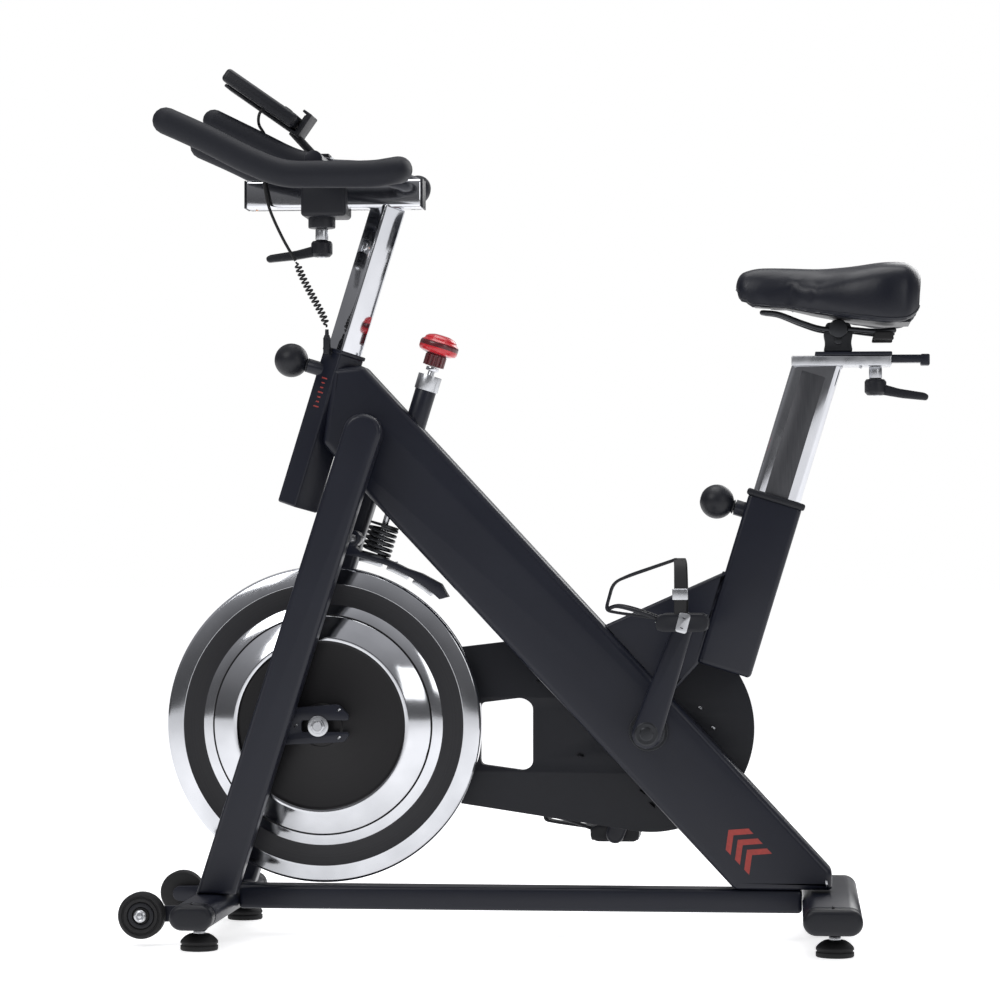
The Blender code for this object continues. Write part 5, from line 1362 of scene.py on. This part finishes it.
SADDLE_FRONT, SADDLE_REAR = 0.2935, 0.5695
SADDLE_STATIONS = [  # share from nose to tail, half width, top, rim bottom
    (0.00, 0.014, 0.958, 0.9350), (0.03, 0.026, 0.971, 0.9220), (0.12, 0.031, 0.9765, 0.9140),
    (0.28, 0.036, 0.9755, 0.9110), (0.45, 0.055, 0.9735, 0.9010), (0.62, 0.082, 0.9760, 0.8930),
    (0.80, 0.096, 0.9830, 0.8870), (0.93, 0.090, 0.9820, 0.8880), (0.985, 0.066, 0.9680, 0.9000),
    (1.00, 0.046, 0.9520, 0.9120)]
SADDLE_SHARES = (0.0, 0.012, 0.03, 0.07, 0.12, 0.20, 0.28, 0.36, 0.45, 0.53, 0.62, 0.71, 0.80, 0.87, 0.93,
                 0.965, 0.985, 1.0)
SWELL_CAP, SWELL_FRAMES = 0.0030, 20


def station(share):
    """Half width, top and rim at a share of the saddle's length."""
    for first, second in zip(SADDLE_STATIONS, SADDLE_STATIONS[1:]):
        if share <= second[0]:
            t = (share - first[0]) / (second[0] - first[0])
            t = t * t * (3 - 2 * t) * 0.5 + t * 0.5
            return [a + (b - a) * t for a, b in zip(first[1:], second[1:])]
    return list(SADDLE_STATIONS[-1][1:])


def saddle_cage(shrink):
    """The pad's outer skin, a little small, with its hollow underside."""
    rings = []
    for share in SADDLE_SHARES:
        half, top, rim = station(share)
        half, top, rim = half - shrink, top - shrink, rim + shrink * 0.5
        x = SADDLE_FRONT + shrink + (SADDLE_REAR - SADDLE_FRONT - 2 * shrink) * share
        mid, recess = (top + rim) / 2, rim + 0.016
        dip = 0.0022 * math.sin(math.pi * min(1.0, max(0.0, (share - 0.30) / 0.70)))
        right = [(0.30 * half, top - 0.0005), (0.58 * half, top - 0.0040), (0.80 * half, top - 0.0100),
                 (0.94 * half, top - 0.0200), (half, mid), (0.975 * half, rim + 0.008), (0.90 * half, rim),
                 (0.80 * half, rim + 0.002), (0.72 * half, recess)]
        ring = [(x, 0.0, top - dip)] + [(x, y, z) for y, z in right] + [(x, 0.0, recess)]
        rings.append(ring + [(x, -y, z) for y, z in reversed(right)])
    cage = loft("saddle_skin", rings)
    cage.modifiers.new("rounding", "SUBSURF").levels = 2
    cage.modifiers["rounding"].render_levels = 2
    return baked(cage, 180.0)


def swell(pad):
    """Inflate the pad as stuffed cloth, then hold each point within the cap."""
    remesh = pad.modifiers.new("voxels", "REMESH")
    remesh.mode, remesh.voxel_size = "VOXEL", 0.0040
    pad = baked(pad, 180.0)
    rest = [v.co.copy() for v in pad.data.vertices]
    cloth = pad.modifiers.new("stuffing", "CLOTH")
    cloth.settings.use_pressure = True
    cloth.settings.uniform_pressure_force = 4.0
    cloth.settings.effector_weights.gravity = 0.0
    cloth.settings.mass = 0.3
    cloth.settings.tension_stiffness = cloth.settings.compression_stiffness = 15.0
    cloth.point_cache.frame_start, cloth.point_cache.frame_end = 1, SWELL_FRAMES
    scene = bpy.context.scene
    for step in range(1, SWELL_FRAMES + 1):
        scene.frame_set(step)
    graph = bpy.context.evaluated_depsgraph_get()
    moved = [v.co.copy() for v in pad.evaluated_get(graph).data.vertices]
    pad.modifiers.clear()
    scene.frame_set(1)
    for vert, before, after in zip(pad.data.vertices, rest, moved):
        shift = after - before
        if shift.length > SWELL_CAP:
            shift *= SWELL_CAP / shift.length
        vert.co = before + shift
    finish = pad.modifiers.new("smooth", "SMOOTH")
    finish.factor, finish.iterations = 0.5, 3
    fine = pad.modifiers.new("fine", "SUBSURF")
    fine.levels = fine.render_levels = 1
    return baked(pad, 180.0)


def make_saddle():
    """Stuffed pad, its sewn edge, the moulded shell, rails and rubber block."""
    pad = swell(saddle_cage(0.0022))
    pad.name = pad.data.name = "stuffed_saddle"
    put(pad, "saddle", "vinyl", "saddle_pad")
    edge = []
    for sign in (1, -1):
        run = []
        for step in range(41):
            share = 0.004 + 0.992 * step / 40
            half, top, rim = station(share)
            run.append(Vector((SADDLE_FRONT + 0.0006 + (SADDLE_REAR - SADDLE_FRONT - 0.0012) * share,
                               sign * (half * 0.968 + 0.0001), rim + 0.0075)))
        edge += run if sign > 0 else list(reversed(run))
    edge.append(edge[0])
    skin = BVHTree.FromPolygons([v.co for v in pad.data.vertices], [p.vertices for p in pad.data.polygons])
    path = [skin.find_nearest(point)[0] for point in even(edge, 200)]
    put(swept("saddle_edge_piping", path, 0.0013, 10), "saddle", "vinyl")
    keep("plastic", "saddle_base")
    half_wire = [(0.5300, 0.0380, 0.8830), (0.5000, 0.0320, 0.8815), (0.4600, 0.0215, 0.8855),
                 (0.4250, 0.0215, 0.8860), (0.3950, 0.0190, 0.8950), (0.3620, 0.0130, 0.9080),
                 (0.3420, 0.0070, 0.9110)]
    route = half_wire + [(0.3370, 0.0, 0.9115)] + [(x, -y, z) for x, y, z in reversed(half_wire)]
    put(swept("saddle_rail_wire", smooth_path(route, 9), 0.0038, 24, 0.0020, 150), "saddle", "black_steel",
        "saddle_rails")
    block_line = eased([(0.4960, 0.8690), (0.5270, 0.8690), (0.5240, 0.8810), (0.4990, 0.8810)], 0.003)
    for side, sign in SIDES:
        damper = plate("saddle_damper_" + side, [block_line], *side_span(sign, 0.0240, 0.0420), 0.0020, 3)
        put(damper, "saddle", "rubber")


make_stage()
make_lead()
make_frame()
make_floor_bars()
make_feet_and_rollers()
make_drive()
make_brake()
make_post()
make_handlebar()
make_seat()
pop_pin("head_pin", HEAD_TOP, HEAD_PIN_DROP, 0.0720, 0.0290, 0.0458)
pop_pin("seat_pin", SEAT_TOP, SEAT_PIN_DROP, 0.0815, 0.0400, 0.0543)
